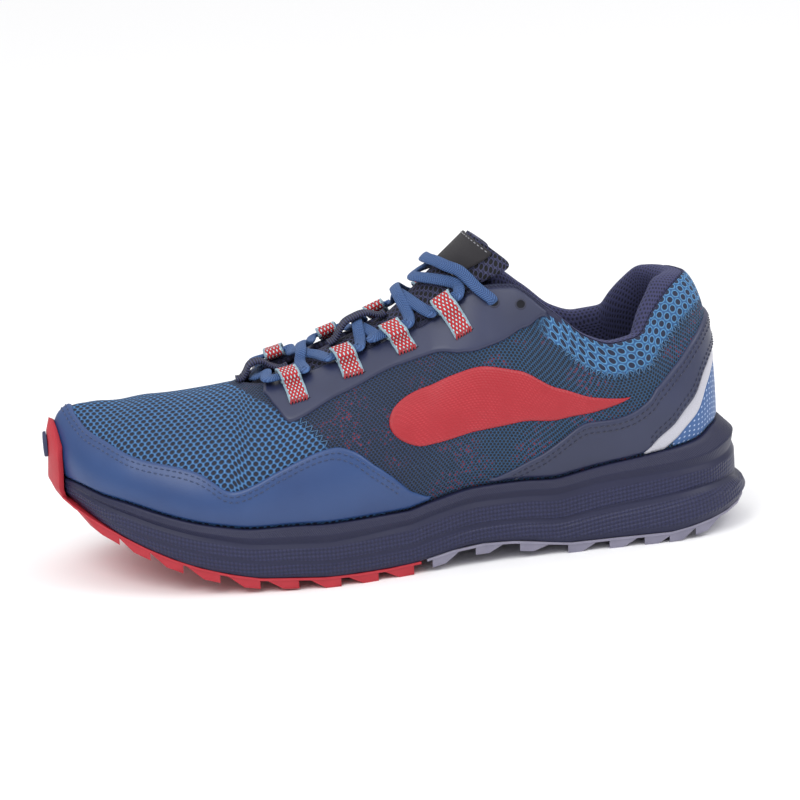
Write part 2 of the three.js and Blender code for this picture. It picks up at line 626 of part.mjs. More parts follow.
// Point of the tongue: t runs from its hidden front end to its top, turn from -1 to 1
// across it, and out is the distance from its outer face
function tonguePoint(t, turn, out) {
  const radius = tongueAt.bend(t) * BALL_WIDTH;
  const angle = THREE.MathUtils.degToRad(tongueAt.sweep(t)) * turn;
  const tilt = THREE.MathUtils.degToRad(tongueAt.tilt(t));
  const lean = new THREE.Vector3(Math.sin(tilt), 0, Math.cos(tilt));
  const crown = new THREE.Vector3(
    -HEEL_BACK + tongueAt.along(t) * UPPER_LENGTH,
    top.axis(0.6) * BALL_WIDTH * (1 - t),
    HEEL_FEATHER + tongueAt.height(t) * INSTEP_HEIGHT,
  );
  return crown.addScaledVector(lean, (radius + out) * Math.cos(angle) - radius)
    .add(new THREE.Vector3(0, (radius + out) * Math.sin(angle), 0));
}

function tongueSheet(from, to, rows, turns, out, thicknessAt) {
  const sections = Array.from({ length: rows + 1 }, (_, i) => {
    const t = THREE.MathUtils.lerp(from, to, i / rows);
    const face = turns.map((turn) => tonguePoint(t, turn, out));
    const back = turns.map((turn) => tonguePoint(t, turn, out - thicknessAt(t, turn)));
    return face.concat(back.reverse());
  });
  return loft(sections);
}

const ACROSS = [-1, -0.8, -0.55, -0.28, 0, 0.28, 0.55, 0.8, 1];
function tongue() {
  const thicknessAt = (t, turn) => TONGUE_THICKNESS * tongueAt.thick(t) * (1 - 0.6 * Math.abs(turn) ** 4);
  return tongueSheet(0, 1, 14, ACROSS, 0, thicknessAt);
}

const LABEL_THICKNESS = 1;
function tongueLabel() {
  const turns = ACROSS.filter((turn) => turn > -0.3 && turn < 0.85);
  return tongueSheet(0.87, 0.985, 3, turns, GAP + LABEL_THICKNESS, () => LABEL_THICKNESS);
}

// Outsoles: a thin skin under the midsole with lugs moulded on it
const OUTSOLE_MARGIN = 0.08;
const LUG_SIDE_WIDTH = 16;
const LUG_CENTRE_WIDTH = 14;
const LUG_SPACE = 5;
const LUG_INSET = 0.4;

function stationAt(x) {
  const share = THREE.MathUtils.clamp((x + HEEL_BACK) / UPPER_LENGTH, 0, 1);
  return Math.acos(1 - 2 * share) / Math.PI;
}

const OUTSOLE_EDGE = { heel: 2.15, waist: 1.25, ball: 0.76, toe: 0.7 };
function outsoleOut(station) {
  return sideOut(OUTSOLE_EDGE, station) + OUTSOLE_MARGIN * SOLE_BULGE;
}

function outsoleSkin(from, to) {
  const sections = stationsBetween(from, to).map((station) => {
    const corner = (side, lift) => {
      const plan = outlineOut(side, station, outsoleOut(station));
      return new THREE.Vector3(plan.x, plan.y, undersideAt(plan.x) + lift);
    };
    return [corner(1, OUTSOLE_SKIN), corner(1, 0), corner(-1, 0), corner(-1, OUTSOLE_SKIN)];
  });
  return loft(sections);
}

// Y of the outsole's edge at a distance x along the shoe
function outsoleEdge(side, x) {
  let station = stationAt(x);
  for (let i = 0; i < 4; i += 1) {
    const miss = x - outlineOut(side, station, outsoleOut(station)).x;
    station = stationAt(outline(side, station).x + miss);
  }
  return outlineOut(side, station, outsoleOut(station)).y;
}

// One lug: flat ground face from steep to steep + length, then a slope up to the skin. Its
// far side, towards the middle of the sole, is shifted along by skew.
function lug(steep, length, slope, skew, [near, far]) {
  const tread = steep + length;
  const root = tread + slope;
  const corner = (x, edge, drop) => new THREE.Vector3(x, edge(x), undersideAt(x) + OUTSOLE_SKIN / 2 - drop);
  const depth = LUG_DEPTH + OUTSOLE_SKIN / 2;
  const points = [
    corner(steep, near, 0), corner(root, near, 0), corner(root + skew, far, 0), corner(steep + skew, far, 0),
    corner(steep, near, depth), corner(tread, near, depth),
    corner(tread + skew, far, depth), corner(steep + skew, far, depth),
  ];
  const faces = [[0, 1, 2], [0, 2, 3], [4, 6, 5], [4, 7, 6], [0, 4, 5], [0, 5, 1],
    [1, 5, 6], [1, 6, 2], [2, 6, 7], [2, 7, 3], [3, 7, 4], [3, 4, 0]];
  return geometryFrom(points, faces);
}

// Lug rows as shares of UPPER_LENGTH from the heel back. They bite backwards under the
// ball and forwards under the heel, and the middle rows stand between the side rows.
const FOREFOOT_LUGS = {
  sides: [0.509, 0.564, 0.621, 0.683, 0.739, 0.796, 0.847, 0.891, 0.932],
  middles: [0.537, 0.595, 0.652, 0.711, 0.768, 0.823, 0.871],
  length: 0.0229,
  slope: 0.0264,
  skew: 0.0141,
  offset: 11,
};
const REAR_LUGS = {
  sides: [0.07, 0.112, 0.151, 0.205, 0.269, 0.343, 0.412, 0.48],
  middles: [0.0894, 0.1338, 0.178, 0.237, 0.306, 0.378, 0.446],
  length: -0.0211,
  slope: -0.0264,
  skew: -0.0141,
  offset: 0,
};

function sideLugs(pattern, length, slope, skew) {
  return pattern.sides.flatMap((share) => {
    const steep = -HEEL_BACK + share * UPPER_LENGTH;
    const ends = [steep, steep + length + slope + skew];
    return [1, -1].map((side) => {
      const reach = Math.min(...ends.map((x) => Math.abs(outsoleEdge(side, x))));
      const width = Math.min(LUG_SIDE_WIDTH, reach - LUG_SPACE);
      const near = (x) => outsoleEdge(side, x) - side * LUG_INSET;
      return lug(steep, length, slope, skew, [near, (x) => near(x) - side * width]);
    });
  });
}

function middleLugs(pattern, length, slope) {
  const sides = pattern.offset === 0 ? [1] : [1, -1];
  return pattern.middles.flatMap((share) => {
    const steep = -HEEL_BACK + share * UPPER_LENGTH;
    return sides.map((side) => {
      const middle = side * pattern.offset + last.axis(stationAt(steep)) * BALL_WIDTH;
      const half = LUG_CENTRE_WIDTH / 2;
      return lug(steep, length, slope, 0, [() => middle + half, () => middle - half]);
    });
  });
}

function outsole(from, to, pattern, extra = []) {
  let solid = toSolid(outsoleSkin(from, to));
  const [length, slope, skew] = [pattern.length, pattern.slope, pattern.skew].map((share) => share * UPPER_LENGTH);
  const lugs = sideLugs(pattern, length, slope, skew).concat(middleLugs(pattern, length, slope));
  for (const piece of extra.concat(lugs)) solid = solid.add(toSolid(piece));
  return toGeometry(solid);
}

// Toe bumper: the forefoot rubber turned up over the toe tip
const BUMPER_THICKNESS = 2.2;
const BUMPER_START = 0.9375;
const BUMPER_RIBS = [0.14, 0.28, 0.42, 0.56];
function toeBumper() {
  const clear = 0.58 * SOLE_BULGE + GAP;
  const onRand = FILM_GAP + FILM + GAP;
  const places = onBothSides(BUMPER_START, 1, true);
  const sections = places.map(([side, station]) => {
    const lowPoint = (out, share) => {
      const plan = outlineOut(side, station, out);
      const floor = undersideAt(plan.x) + OUTSOLE_SKIN * 0.2;
      const feather = heightOf('feather', station);
      return new THREE.Vector3(plan.x, plan.y, THREE.MathUtils.lerp(floor, feather, share));
    };
    const narrowing = 1 - 0.45 * ((1 - station) / (1 - BUMPER_START)) ** 2;
    const rail = (thickness) => [lowPoint(0.5 * clear + thickness, 0), lowPoint(clear + thickness, 0.5)]
      .concat(BUMPER_RIBS.map((rib) => skin(side, station, rib * narrowing, Math.max(onRand, clear * (1 - 4 * rib * narrowing)) + thickness)));
    return rail(0).concat(rail(BUMPER_THICKNESS).reverse());
  });
  return loft(sections);
}

// Toe badge: a small bare disc moulded on the bumper
const BADGE_HEIGHT = 11;
const BADGE_WIDTH = 9;
const BADGE_THICKNESS = 1.2;
function toeBadge() {
  const rib = 0.28;
  const seat = skin(1, 1, rib, FILM_GAP + FILM + GAP + BUMPER_THICKNESS + GAP);
  const normal = ribNormal(1, 1, rib);
  const geometry = new THREE.CylinderGeometry(0.5, 0.5, BADGE_THICKNESS, 20);
  geometry.rotateZ(-Math.PI / 2);
  geometry.scale(1, BADGE_WIDTH, BADGE_HEIGHT);
  geometry.rotateY(-Math.asin(normal.z));
  geometry.translate(seat.x + BADGE_THICKNESS / 2, seat.y, seat.z);
  geometry.deleteAttribute('normal');
  geometry.deleteAttribute('uv');
  return mergeVertices(geometry, 1e-3);
}

// Lace loops: webbing sewn to the eyestay, folded over the lace at the throat edge
const LOOPS = [
  { station: 0.644, length: 20.5, slant: 0.0006, outerSeat: 5.5, innerSeat: 1, enter: 2.2 },
  { station: 0.598, length: 15, slant: 0.0006, outerSeat: 3, innerSeat: 1, enter: 1.5 },
  { station: 0.546, length: 12, slant: 0.0008, outerSeat: 1, innerSeat: 1, enter: 2.1 },
  { station: 0.487, length: 17.5, slant: 0.0009, outerSeat: 1, innerSeat: 1, enter: 1.5 },
];
const LOOP_WIDTH = 9;
const WEBBING = 0.8;
const LACE_WIDTH = 5;
const LACE_THICKNESS = 2;
const EYESTAY_TOP = FILM_GAP + FILM;
const LACE_OVER = EYESTAY_TOP + GAP + WEBBING + GAP + LACE_THICKNESS / 2;
const LOOP_BEND = 8;
const LOOP_PATH = [
  { along: 1, bend: 0, out: EYESTAY_TOP + GAP + WEBBING / 2 },
  { along: 0.7, bend: 0, out: EYESTAY_TOP + GAP + WEBBING / 2 },
  { along: 0.5, bend: 0, out: EYESTAY_TOP + GAP + WEBBING / 2 + 0.3 },
  { along: 0, bend: 0.5, out: LACE_OVER + LACE_THICKNESS / 2 + 1.5 * WEBBING },
  { along: 0, bend: 0.08, out: LACE_OVER + LACE_THICKNESS / 2 + 1.7 * WEBBING },
  { along: 0, bend: -0.34, out: LACE_OVER + LACE_THICKNESS / 2 + 1.3 * WEBBING },
  { along: 0, bend: -0.56, out: LACE_OVER },
  { along: 0, bend: -0.34, out: EYESTAY_TOP + GAP + WEBBING / 2 },
  { along: 0, bend: 0.33, out: EYESTAY_TOP + GAP + WEBBING / 2 },
];

function stationStep(side, station, distance) {
  const here = ribPoint(side, station, 1);
  const near = ribPoint(side, station + 0.01, 1);
  return (0.01 * distance) / near.distanceTo(here);
}

// How far below the throat edge the lace lies in a loop
function seatOf(side, row) {
  return side > 0 ? LOOPS[row].outerSeat : LOOPS[row].innerSeat;
}

function laceLoop(side, row) {
  const { station, length, slant } = LOOPS[row];
  const seat = seatOf(side, row);
  const reach = stationStep(side, station, LOOP_WIDTH / 2);
  const sections = [-1, 1].map((share) => {
    const place = station + share * reach;
    const path = LOOP_PATH.map(({ along, bend, out }) => {
      const down = along > 0 ? along * length : seat + bend * LOOP_BEND;
      return nearEdge(side, place - Math.max(down, 0) * slant, down, out);
    });
    const across = nearEdge(side, place + 0.002, 0, 0).sub(nearEdge(side, place - 0.002, 0, 0)).normalize();
    const normals = path.map((point, i) => {
      const run = path[Math.min(i + 1, path.length - 1)].clone().sub(path[Math.max(i - 1, 0)]);
      return run.cross(across).normalize();
    });
    const rail = (offset) => path.map((point, i) => point.clone().addScaledVector(normals[i], offset));
    return rail(WEBBING / 2).concat(rail(-WEBBING / 2).reverse());
  });
  return loft(sections);
}

// Lace: one flat cord from the front keeper, crossing over the tongue from loop to loop,
// with its ends at the top eyelets. Heights are of its middle over the tongue's face.
const LACE_LOW = 2;
const LACE_HIGH = LACE_LOW + LACE_THICKNESS + GAP;
const LACE_ON_LABEL = GAP + LABEL_THICKNESS + 5 * GAP + LACE_THICKNESS / 2;
const CROSSINGS = [
  { t: 0.265, turn: 0.36, spread: 0.035, lift: 1.2 },
  { t: 0.495, turn: 0.5, spread: 0.03, lift: 0 },
  { t: 0.705, turn: 0.6, spread: 0.02, lift: 1.2 },
];
const LACE_UNDER_END = [
  { t: 0.865, turn: 0.8, height: LACE_LOW + 1 },
  { t: 0.835, turn: 0.55, height: LACE_LOW + 0.5 },
  { t: 0.795, turn: 0.25, height: LACE_LOW + 1 },
  { t: 0.775, turn: 0, height: LACE_LOW + 2 },
  { t: 0.825, turn: -0.3, height: LACE_LOW },
  { t: 0.885, turn: -0.66, height: LACE_LOW + 0.6 },
];
const LACE_OVER_END = [
  { t: 0.87, turn: 0.8, height: LACE_LOW + 1 },
  { t: 0.862, turn: 0.55, height: LACE_LOW + 1.4 },
  { t: 0.852, turn: 0.25, height: LACE_HIGH + 0.6 },
  { t: 0.85, turn: 0, height: LACE_HIGH + 0.8 },
  { t: 0.868, turn: -0.26, height: LACE_ON_LABEL + 0.6 },
  { t: 0.882, turn: -0.48, height: LACE_ON_LABEL + 0.5 },
  { t: 0.9, turn: -0.68, height: LACE_ON_LABEL + 0.4 },
];
const EYELET_STATION = 0.428;
const EYELET_RIB = 0.9;

function onTongue(t, turn, height) {
  const point = tonguePoint(t, turn, height);
  return { point, normal: tonguePoint(t, turn, height + 1).sub(point) };
}

function throughLoop(side, row, share) {
  const { station: middle, slant } = LOOPS[row];
  const seat = seatOf(side, row);
  const station = middle + share * stationStep(side, middle, LOOP_WIDTH / 2) - seat * slant;
  const point = nearEdge(side, station, seat, LACE_OVER);
  return { point, normal: nearEdge(side, station, seat, LACE_OVER + 1).sub(point) };
}

// One half of the lace. It starts at the keeper, turns in each loop and crosses over the
// other half where its entry in over is true.
function strandPath(firstSide, over) {
  const path = [onTongue(0.055, -0.04 * firstSide, LACE_LOW + 0.6), onTongue(0.07, 0.14 * firstSide, LACE_LOW + 1.4)];
  path.push(onTongue(0.1, 0.26 * firstSide, LACE_LOW + 3.4));
  LOOPS.forEach((_, row) => {
    const side = row % 2 === 0 ? firstSide : -firstSide;
    for (const share of [LOOPS[row].enter, 1, -1.15, -1.65]) path.push(throughLoop(side, row, share));
    if (row === CROSSINGS.length) return;
    const { t, turn, spread, lift } = CROSSINGS[row];
    const height = (over[row] ? LACE_HIGH : LACE_LOW) + lift;
    path.push(onTongue(t - spread, turn * side, LACE_LOW + 1 + lift / 2));
    path.push(onTongue(t - spread / 4, 0.18 * side, height), onTongue(t + spread / 4, -0.18 * side, height));
    path.push(onTongue(t + spread, -turn * side, LACE_LOW + 1 + lift / 2));
  });
  const end = over[CROSSINGS.length] ? LACE_OVER_END : LACE_UNDER_END;
  const side = -firstSide;
  for (const { t, turn, height } of end) path.push(onTongue(t, turn * side, height));
  const overEyestay = EYESTAY_TOP + GAP + LACE_THICKNESS / 2;
  for (const [station, rib, lift] of [[0.45, 1, 1.2], [0.444, 0.96, 0.4], [EYELET_STATION, EYELET_RIB, 0]]) {
    path.push({ point: skin(-side, station, rib, overEyestay + lift), normal: ribNormal(-side, station, rib) });
  }
  return path;
}

function strand(path) {
  const sections = path.map(({ point, normal }, i) => {
    const run = path[Math.min(i + 1, path.length - 1)].point.clone().sub(path[Math.max(i - 1, 0)].point).normalize();
    const across = run.clone().cross(normal).normalize().multiplyScalar(LACE_WIDTH / 2);
    const up = across.clone().cross(run).normalize().multiplyScalar(LACE_THICKNESS / 2);
    const corner = (a, b) => point.clone().addScaledVector(across, a).addScaledVector(up, b);
    return [corner(1, 1), corner(-1, 1), corner(-1, -1), corner(1, -1)];
  });
  return loft(sections);
}

function lace() {
  const first = toSolid(strand(strandPath(1, [true, false, true, true])));
  return toGeometry(first.add(toSolid(strand(strandPath(-1, [false, true, false, false])))));
}

// Keepers: ribbed tape sewn along the middle of the tongue, arched over the lace
const KEEPER_WIDTH = 8;
const TAPE = 1.2;
const FRONT_ARCH = [
  { back: 0.5, up: 0.7 },
  { back: 2.6, up: 0.9 },
  { back: 4.4, up: 3 },
  { back: 6.2, up: 6.2 },
  { back: 9, up: 7.6 },
  { back: 12.5, up: 7.2 },
];
const FRONT_TAIL = [
  { t: 0.125, height: 4 },
  { t: 0.16, height: 0.8 },
  { t: 0.19, height: GAP },
];
const MIDDLE_ARCH = [
  { t: 0.36, height: GAP },
  { t: 0.39, height: 0.7 },
  { t: 0.445, height: 5 },
  { t: 0.495, height: 5.8 },
  { t: 0.545, height: 5 },
  { t: 0.6, height: 0.8 },
  { t: 0.63, height: GAP },
];

function tapeArch(points) {
  const sections = [-0.5, 0.5].map((share) => {
    const rail = (offset) => points.map((point, i) => {
      const run = points[Math.min(i + 1, points.length - 1)].clone().sub(points[Math.max(i - 1, 0)]);
      const normal = new THREE.Vector3(-run.z, 0, run.x).normalize();
      return point.clone().addScaledVector(normal, offset).add(new THREE.Vector3(0, share * KEEPER_WIDTH, 0));
    });
    return rail(TAPE / 2).concat(rail(-TAPE / 2).reverse());
  });
  return loft(sections);
}

function overTongue(rows) {
  return rows.map(({ t, height }) => tonguePoint(t, 0, height + TAPE / 2));
}

function keeperFront() {
  const edge = ribPoint(1, THROAT_FRONT, 1);
  const arch = FRONT_ARCH.map(({ back, up }) => new THREE.Vector3(edge.x - back, edge.y, edge.z + up + TAPE / 2));
  return tapeArch(arch.concat(overTongue(FRONT_TAIL)));
}

addPiece('upper', upper(), '#2f5f94');
addPiece('midsole', midsole(), '#474a6c');
addPiece('insole', insole(), '#3a3f5c');
addPiece('toe_rand', film(onBothSides(0.484, 1), TOE_RAND, 5), '#3f6499');
for (const [label, side] of [['lateral', 1], ['medial', -1]]) {
  const along = (from, to) => stationsBetween(from, to, true).map((station) => [side, station]);
  addPiece(`eyestay_${label}`, film(along(0.353, 0.662), EYESTAY, 3), '#4a5076');
  addPiece(`quarter_panel_${label}`, film(along(0.25, 0.542), QUARTER_PANEL, 4), '#c93040');
}
addPiece('heel_overlay', film(onBothSides(0, 0.425), HEEL_OVERLAY, 3), '#4a5076');
addPiece('heel_strip', film(onBothSides(0, STRIP_FOOT), HEEL_STRIP, 1), '#c9c9d2');
addPiece('heel_patch', film(onBothSides(0, 0.196), HEEL_PATCH, 2), '#5679ab');
addPiece('collar_pad', collarPad(), '#32335a');
addPiece('tongue', tongue(), '#2b2d4c');
addPiece('tongue_label', tongueLabel(), '#3b373b');
addPiece('outsole_forefoot', outsole(OUTSOLE_SPLIT, 1, FOREFOOT_LUGS, [toeBumper()]), '#c8303e');
addPiece('outsole_rear', outsole(0, OUTSOLE_SPLIT - OUTSOLE_JOINT, REAR_LUGS), '#8f8ca0');
addPiece('toe_badge', toeBadge(), '#33333f');
for (const [label, side] of [['lateral', 1], ['medial', -1]]) {
  LOOPS.forEach((_, row) => addPiece(`lace_loop_${label}_${row + 1}`, laceLoop(side, row), '#d02030'));
}
addPiece('keeper_front', keeperFront(), '#3a3f66');
addPiece('keeper_middle', tapeArch(overTongue(MIDDLE_ARCH)), '#3a3f66');
addPiece('lace', lace(), '#4b6ca3');

export default shoe;
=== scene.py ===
import math

import bmesh
import bpy
import numpy as np
from mathutils import Matrix, Vector


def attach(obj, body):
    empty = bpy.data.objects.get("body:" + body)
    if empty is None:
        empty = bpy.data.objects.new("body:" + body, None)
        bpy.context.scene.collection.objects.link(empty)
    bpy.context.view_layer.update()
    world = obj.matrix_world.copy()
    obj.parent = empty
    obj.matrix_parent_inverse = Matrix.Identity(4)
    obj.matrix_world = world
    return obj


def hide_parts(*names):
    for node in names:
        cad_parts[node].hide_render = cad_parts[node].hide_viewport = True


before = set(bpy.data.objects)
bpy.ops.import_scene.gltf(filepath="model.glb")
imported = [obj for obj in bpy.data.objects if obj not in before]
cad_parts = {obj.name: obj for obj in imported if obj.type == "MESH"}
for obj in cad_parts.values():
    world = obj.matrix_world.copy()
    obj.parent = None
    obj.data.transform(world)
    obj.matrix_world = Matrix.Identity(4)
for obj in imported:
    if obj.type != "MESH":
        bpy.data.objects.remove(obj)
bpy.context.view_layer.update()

# Camera: stands at the photo's angle to the outer side of the shoe, a little above the
# floor, and is rolled a few degrees. Lengths of the scene are metres.
PICTURE_CENTRE = Vector((0.105, 0.0, 0.0631))
CAMERA_TURN = math.radians(10)
CAMERA_LIFT = math.radians(14)
CAMERA_ROLL = math.radians(3)
CAMERA_DISTANCE = 1.4
LENS_MM = 147.1
SENSOR_MM = 36.0

to_camera = Vector((
    math.sin(CAMERA_TURN) * math.cos(CAMERA_LIFT),
    math.cos(CAMERA_TURN) * math.cos(CAMERA_LIFT),
    math.sin(CAMERA_LIFT),
))
level_right = (-to_camera).cross(Vector((0, 0, 1))).normalized()
level_up = level_right.cross(-to_camera)
right = level_right * math.cos(CAMERA_ROLL) - level_up * math.sin(CAMERA_ROLL)
up = level_right * math.sin(CAMERA_ROLL) + level_up * math.cos(CAMERA_ROLL)
camera = bpy.data.objects.new("camera", bpy.data.cameras.new("camera"))
camera.data.lens = LENS_MM
camera.data.sensor_width = SENSOR_MM
camera.data.clip_start = 0.05
camera.matrix_world = Matrix((right, up, to_camera)).transposed().to_4x4()
camera.location = PICTURE_CENTRE + to_camera * CAMERA_DISTANCE
bpy.context.scene.collection.objects.link(camera)
bpy.context.scene.camera = camera

# Studio: a pale floor, a pale surround that is brightest overhead, and three soft boxes,
# one over the toe, one over the heel and one in front of the shoe.
FLOOR_COLOUR = "#fcfcfd"
SURROUND_COLOUR = "#ffffff"
SURROUND_LOW = 0.42
SURROUND_RISE = 0.84
FLOOR_SIZE = 8.0
SOFT_BOXES = [
    # name, place, watts, width
    ("key_light", (0.75, 0.75, 1.05), 7.0, 0.7),
    ("heel_light", (-0.75, 0.45, 0.95), 4.0, 0.6),
    ("front_light", (0.05, 1.5, 0.5), 0.8, 0.9),
]


def linear(colour):
    """Linear red, green, blue and alpha of an sRGB hex colour."""
    parts = [int(colour[i:i + 2], 16) / 255 for i in (1, 3, 5)]
    return tuple(p / 12.92 if p <= 0.04045 else ((p + 0.055) / 1.055) ** 2.4 for p in parts) + (1.0,)


def node(tree, kind, inputs=None, **settings):
    """Adds a node with its settings. Inputs are values, or outputs of other nodes."""
    made = tree.nodes.new(kind)
    for name, value in settings.items():
        setattr(made, name, value)
    for name, value in (inputs or {}).items():
        value = getattr(value, "socket", value)
        if isinstance(value, bpy.types.NodeSocket):
            tree.links.new(value, made.inputs[name])
        else:
            made.inputs[name].default_value = value
    return made


def new_material(name):
    """A material without nodes, and its node tree."""
    material = bpy.data.materials.new(name)
    material.use_nodes = True
    material.node_tree.nodes.clear()
    return material, material.node_tree


def finish(material, settings, relief=None):
    """Gives a material its surface. Relief is a height, its depth in millimetres and its strength."""
    tree = material.node_tree
    if relief:
        height, depth_mm, strength = relief
        inputs = {"Height": height, "Distance": depth_mm * MM, "Strength": strength}
        settings["Normal"] = node(tree, "ShaderNodeBump", inputs).outputs["Normal"]
    shader = node(tree, "ShaderNodeBsdfPrincipled", settings)
    output = node(tree, "ShaderNodeOutputMaterial")
    tree.links.new(shader.outputs["BSDF"], output.inputs["Surface"])
    return material


def light_the_studio():
    world = bpy.data.worlds.new("studio")
    bpy.context.scene.world = world
    world.use_nodes = True
    surround = world.node_tree.nodes["Background"]
    surround.inputs["Color"].default_value = linear(SURROUND_COLOUR)
    direction = node(world.node_tree, "ShaderNodeTexCoord").outputs["Generated"]
    upwards = node(world.node_tree, "ShaderNodeSeparateXYZ", {"Vector": direction}).outputs["Z"]
    above = node(world.node_tree, "ShaderNodeMath", {0: upwards, 1: 0.0}, operation="MAXIMUM").outputs[0]
    strength = node(world.node_tree, "ShaderNodeMath", {0: above, 1: SURROUND_RISE, 2: SURROUND_LOW},
                    operation="MULTIPLY_ADD").outputs[0]
    world.node_tree.links.new(strength, surround.inputs["Strength"])
    for name, place, watts, width in SOFT_BOXES:
        lamp = bpy.data.lights.new(name, "AREA")
        lamp.energy = watts
        lamp.size = width
        light = bpy.data.objects.new(name, lamp)
        light.location = place
        aim = PICTURE_CENTRE - Vector(place)
        light.rotation_euler = aim.to_track_quat("-Z", "Y").to_euler()
        bpy.context.scene.collection.objects.link(light)


def lay_the_floor():
    half = FLOOR_SIZE / 2
    mesh = bpy.data.meshes.new("floor")
    mesh.from_pydata([(-half, -half, 0), (half, -half, 0), (half, half, 0), (-half, half, 0)], [],
                     [(0, 1, 2, 3)])
    floor = bpy.data.objects.new("floor", mesh)
    bpy.context.scene.collection.objects.link(floor)
    material, _ = new_material("painted_studio_floor")
    mesh.materials.append(finish(material, {"Base Color": linear(FLOOR_COLOUR), "Roughness": 0.9}))


light_the_studio()
lay_the_floor()
bpy.context.scene.view_settings.view_transform = "Standard"

# Midsole: one block of moulded EVA foam. An upper tier holds the foot, a lower tier steps
# in under it and flares out at the heel. Shapes from here on are worked out in millimetres.
MM = 0.001
UPPER_LENGTH = 284.0
HEEL_BACK = 33.0
BALL_WIDTH = 100.0
INSTEP_HEIGHT = 75.0
SOLE_STACK = 32.0
SOLE_BULGE = 5.0
TOE_SPRING = 31.0
ARCH_RISE = 4.5
HEEL_BEVEL = 8.0
LUG_DEPTH = 3.5
OUTSOLE_SKIN = 1.0
GAP = 0.3
LAST = [
    # at, axis, outer, inner, feather, crease high, crease low
    (0.0, 0.0, 0.0, 0.0, 1.291, 0.951, 0.466),
    (0.05, 0.0, 0.105, 0.105, 1.293, 0.946, 0.493),
    (0.1, 0.0, 0.205, 0.205, 1.275, 0.900, 0.569),
    (0.15, 0.0, 0.28, 0.278, 1.169, 0.860, 0.569),
    (0.2, 0.0, 0.325, 0.32, 1.116, 0.841, 0.534),
    (0.25, 0.0, 0.342, 0.332, 1.059, 0.813, 0.484),
    (0.3, 0.0, 0.35, 0.33, 0.997, 0.784, 0.434),
    (0.4, 0.0, 0.375, 0.31, 0.809, 0.616, 0.306),
    (0.5, -0.01, 0.46, 0.365, 0.741, 0.572, 0.29),
    (0.6, -0.03, 0.545, 0.45, 0.719, 0.491, 0.256),
    (0.7, -0.06, 0.525, 0.44, 0.630, 0.474, 0.270),
    (0.8, -0.09, 0.4, 0.34, 0.539, 0.414, 0.233),
    (0.85, -0.1, 0.315, 0.275, 0.444, 0.356, 0.188),
    (0.9, -0.11, 0.22, 0.2, 0.388, 0.313, 0.156),
    (0.95, -0.117, 0.112, 0.105, 0.309, 0.259, 0.125),
    (1.0, -0.12, 0.0, 0.0, 0.275, 0.228, 0.109),
]
UNDERSIDE = [
    # at, spring, arch, bevel
    (-0.0528, 0, 0, 1.15),
    (-0.0106, 0, 0, 0.78),
    (0.0176, 0, 0, 0.54),
    (0.0458, 0, 0, 0.35),
    (0.0722, 0, 0, 0.19),
    (0.1074, 0, 0, 0),
    (0.2676, 0, 0, 0),
    (0.3381, 0, 0.73, 0),
    (0.4119, 0, 1, 0),
    (0.4785, 0, 0.45, 0),
    (0.518, 0, 0, 0),
    (0.6231, 0, 0, 0),
    (0.6867, 0.032, 0, 0),
    (0.7393, 0.06, 0, 0),
    (0.7989, 0.18, 0, 0),
    (0.8484, 0.315, 0, 0),
    (0.8909, 0.465, 0, 0),
    (0.9404, 0.69, 0, 0),
    (0.9757, 0.865, 0, 0),
    (1, 1, 0, 0),
    (1.0303, 1.19, 0, 0),
]
SIDE_LEVELS = [
    # from, to, drop, heel, waist, ball, toe
    ("feather", "crease_high", 0, -0.6, -0.6, -0.6, -0.6),
    ("feather", "crease_high", 0, 0.3, 0.42, 0.42, 0.3),
    ("feather", "crease_high", 0.55, 1.5, 0.84, 0.84, 0.4),
    ("feather", "crease_high", 1, 1.32, 0.68, 0.68, 0.34),
    ("crease_high", "crease_low", 0.22, 1.55, 0.92, 0.95, 0.4),
    ("crease_high", "crease_low", 0.9, 1.58, 0.98, 1.02, 0.3),
    ("crease_high", "crease_low", 1, 1.5, 0.92, 1.0, 0.28),
    ("crease_low", "base", 0.3, 2.25, 1.3, 1.0, 0.2),
    ("crease_low", "base", 0.75, 2.45, 1.45, 0.94, 0),
    ("crease_low", "base", 1, 2.15, 1.25, 0.76, -0.2),
]
FINE_STATIONS = 161
FOAM_COLOUR = "#1b1d38"
FOAM_CLOUD_AND_HIGHLIGHT = "#303357"
FOAM_CELL_MM = 1.7
FOAM_RIB_MM = 0.9


def column(rows, index, odd=False):
    """Curve through a column of a table. It never overshoots the rows."""
    at = np.array([row[0] for row in rows], float)
    value = np.array([row[index] for row in rows], float)
    secant = np.diff(value) / np.diff(at)
    slope = np.zeros(len(rows))
    for i in range(1, len(rows) - 1):
        if secant[i - 1] * secant[i] > 0:
            slope[i] = 2 * secant[i - 1] * secant[i] / (secant[i - 1] + secant[i])
    if odd:
        slope[0] = secant[0]
        slope[-1] = secant[-1]

    def curve(place):
        place = np.clip(place, at[0], at[-1])
        i = np.clip(np.searchsorted(at, place, side="right") - 1, 0, len(at) - 2)
        span = at[i + 1] - at[i]
        t = (place - at[i]) / span
        start = value[i] * (1 + 2 * t) * (1 - t) ** 2 + slope[i] * span * t * (1 - t) ** 2
        return start + value[i + 1] * t * t * (3 - 2 * t) + slope[i + 1] * span * t * t * (t - 1)

    return curve


last_axis = column(LAST, 1)
last_outer = column(LAST, 2, odd=True)
last_inner = column(LAST, 3, odd=True)
level_share = {"feather": column(LAST, 4), "crease_high": column(LAST, 5), "crease_low": column(LAST, 6)}
spring = column(UNDERSIDE, 1)
arch = column(UNDERSIDE, 2)
bevel = column(UNDERSIDE, 3)


def point(x, y, z):
    """Points with the given coordinates, as one array."""
    return np.stack(np.broadcast_arrays(x, y, z), axis=-1).astype(float)


def unit(vectors):
    """The vectors at length one."""
    return vectors / np.maximum(np.linalg.norm(vectors, axis=-1, keepdims=True), 1e-12)


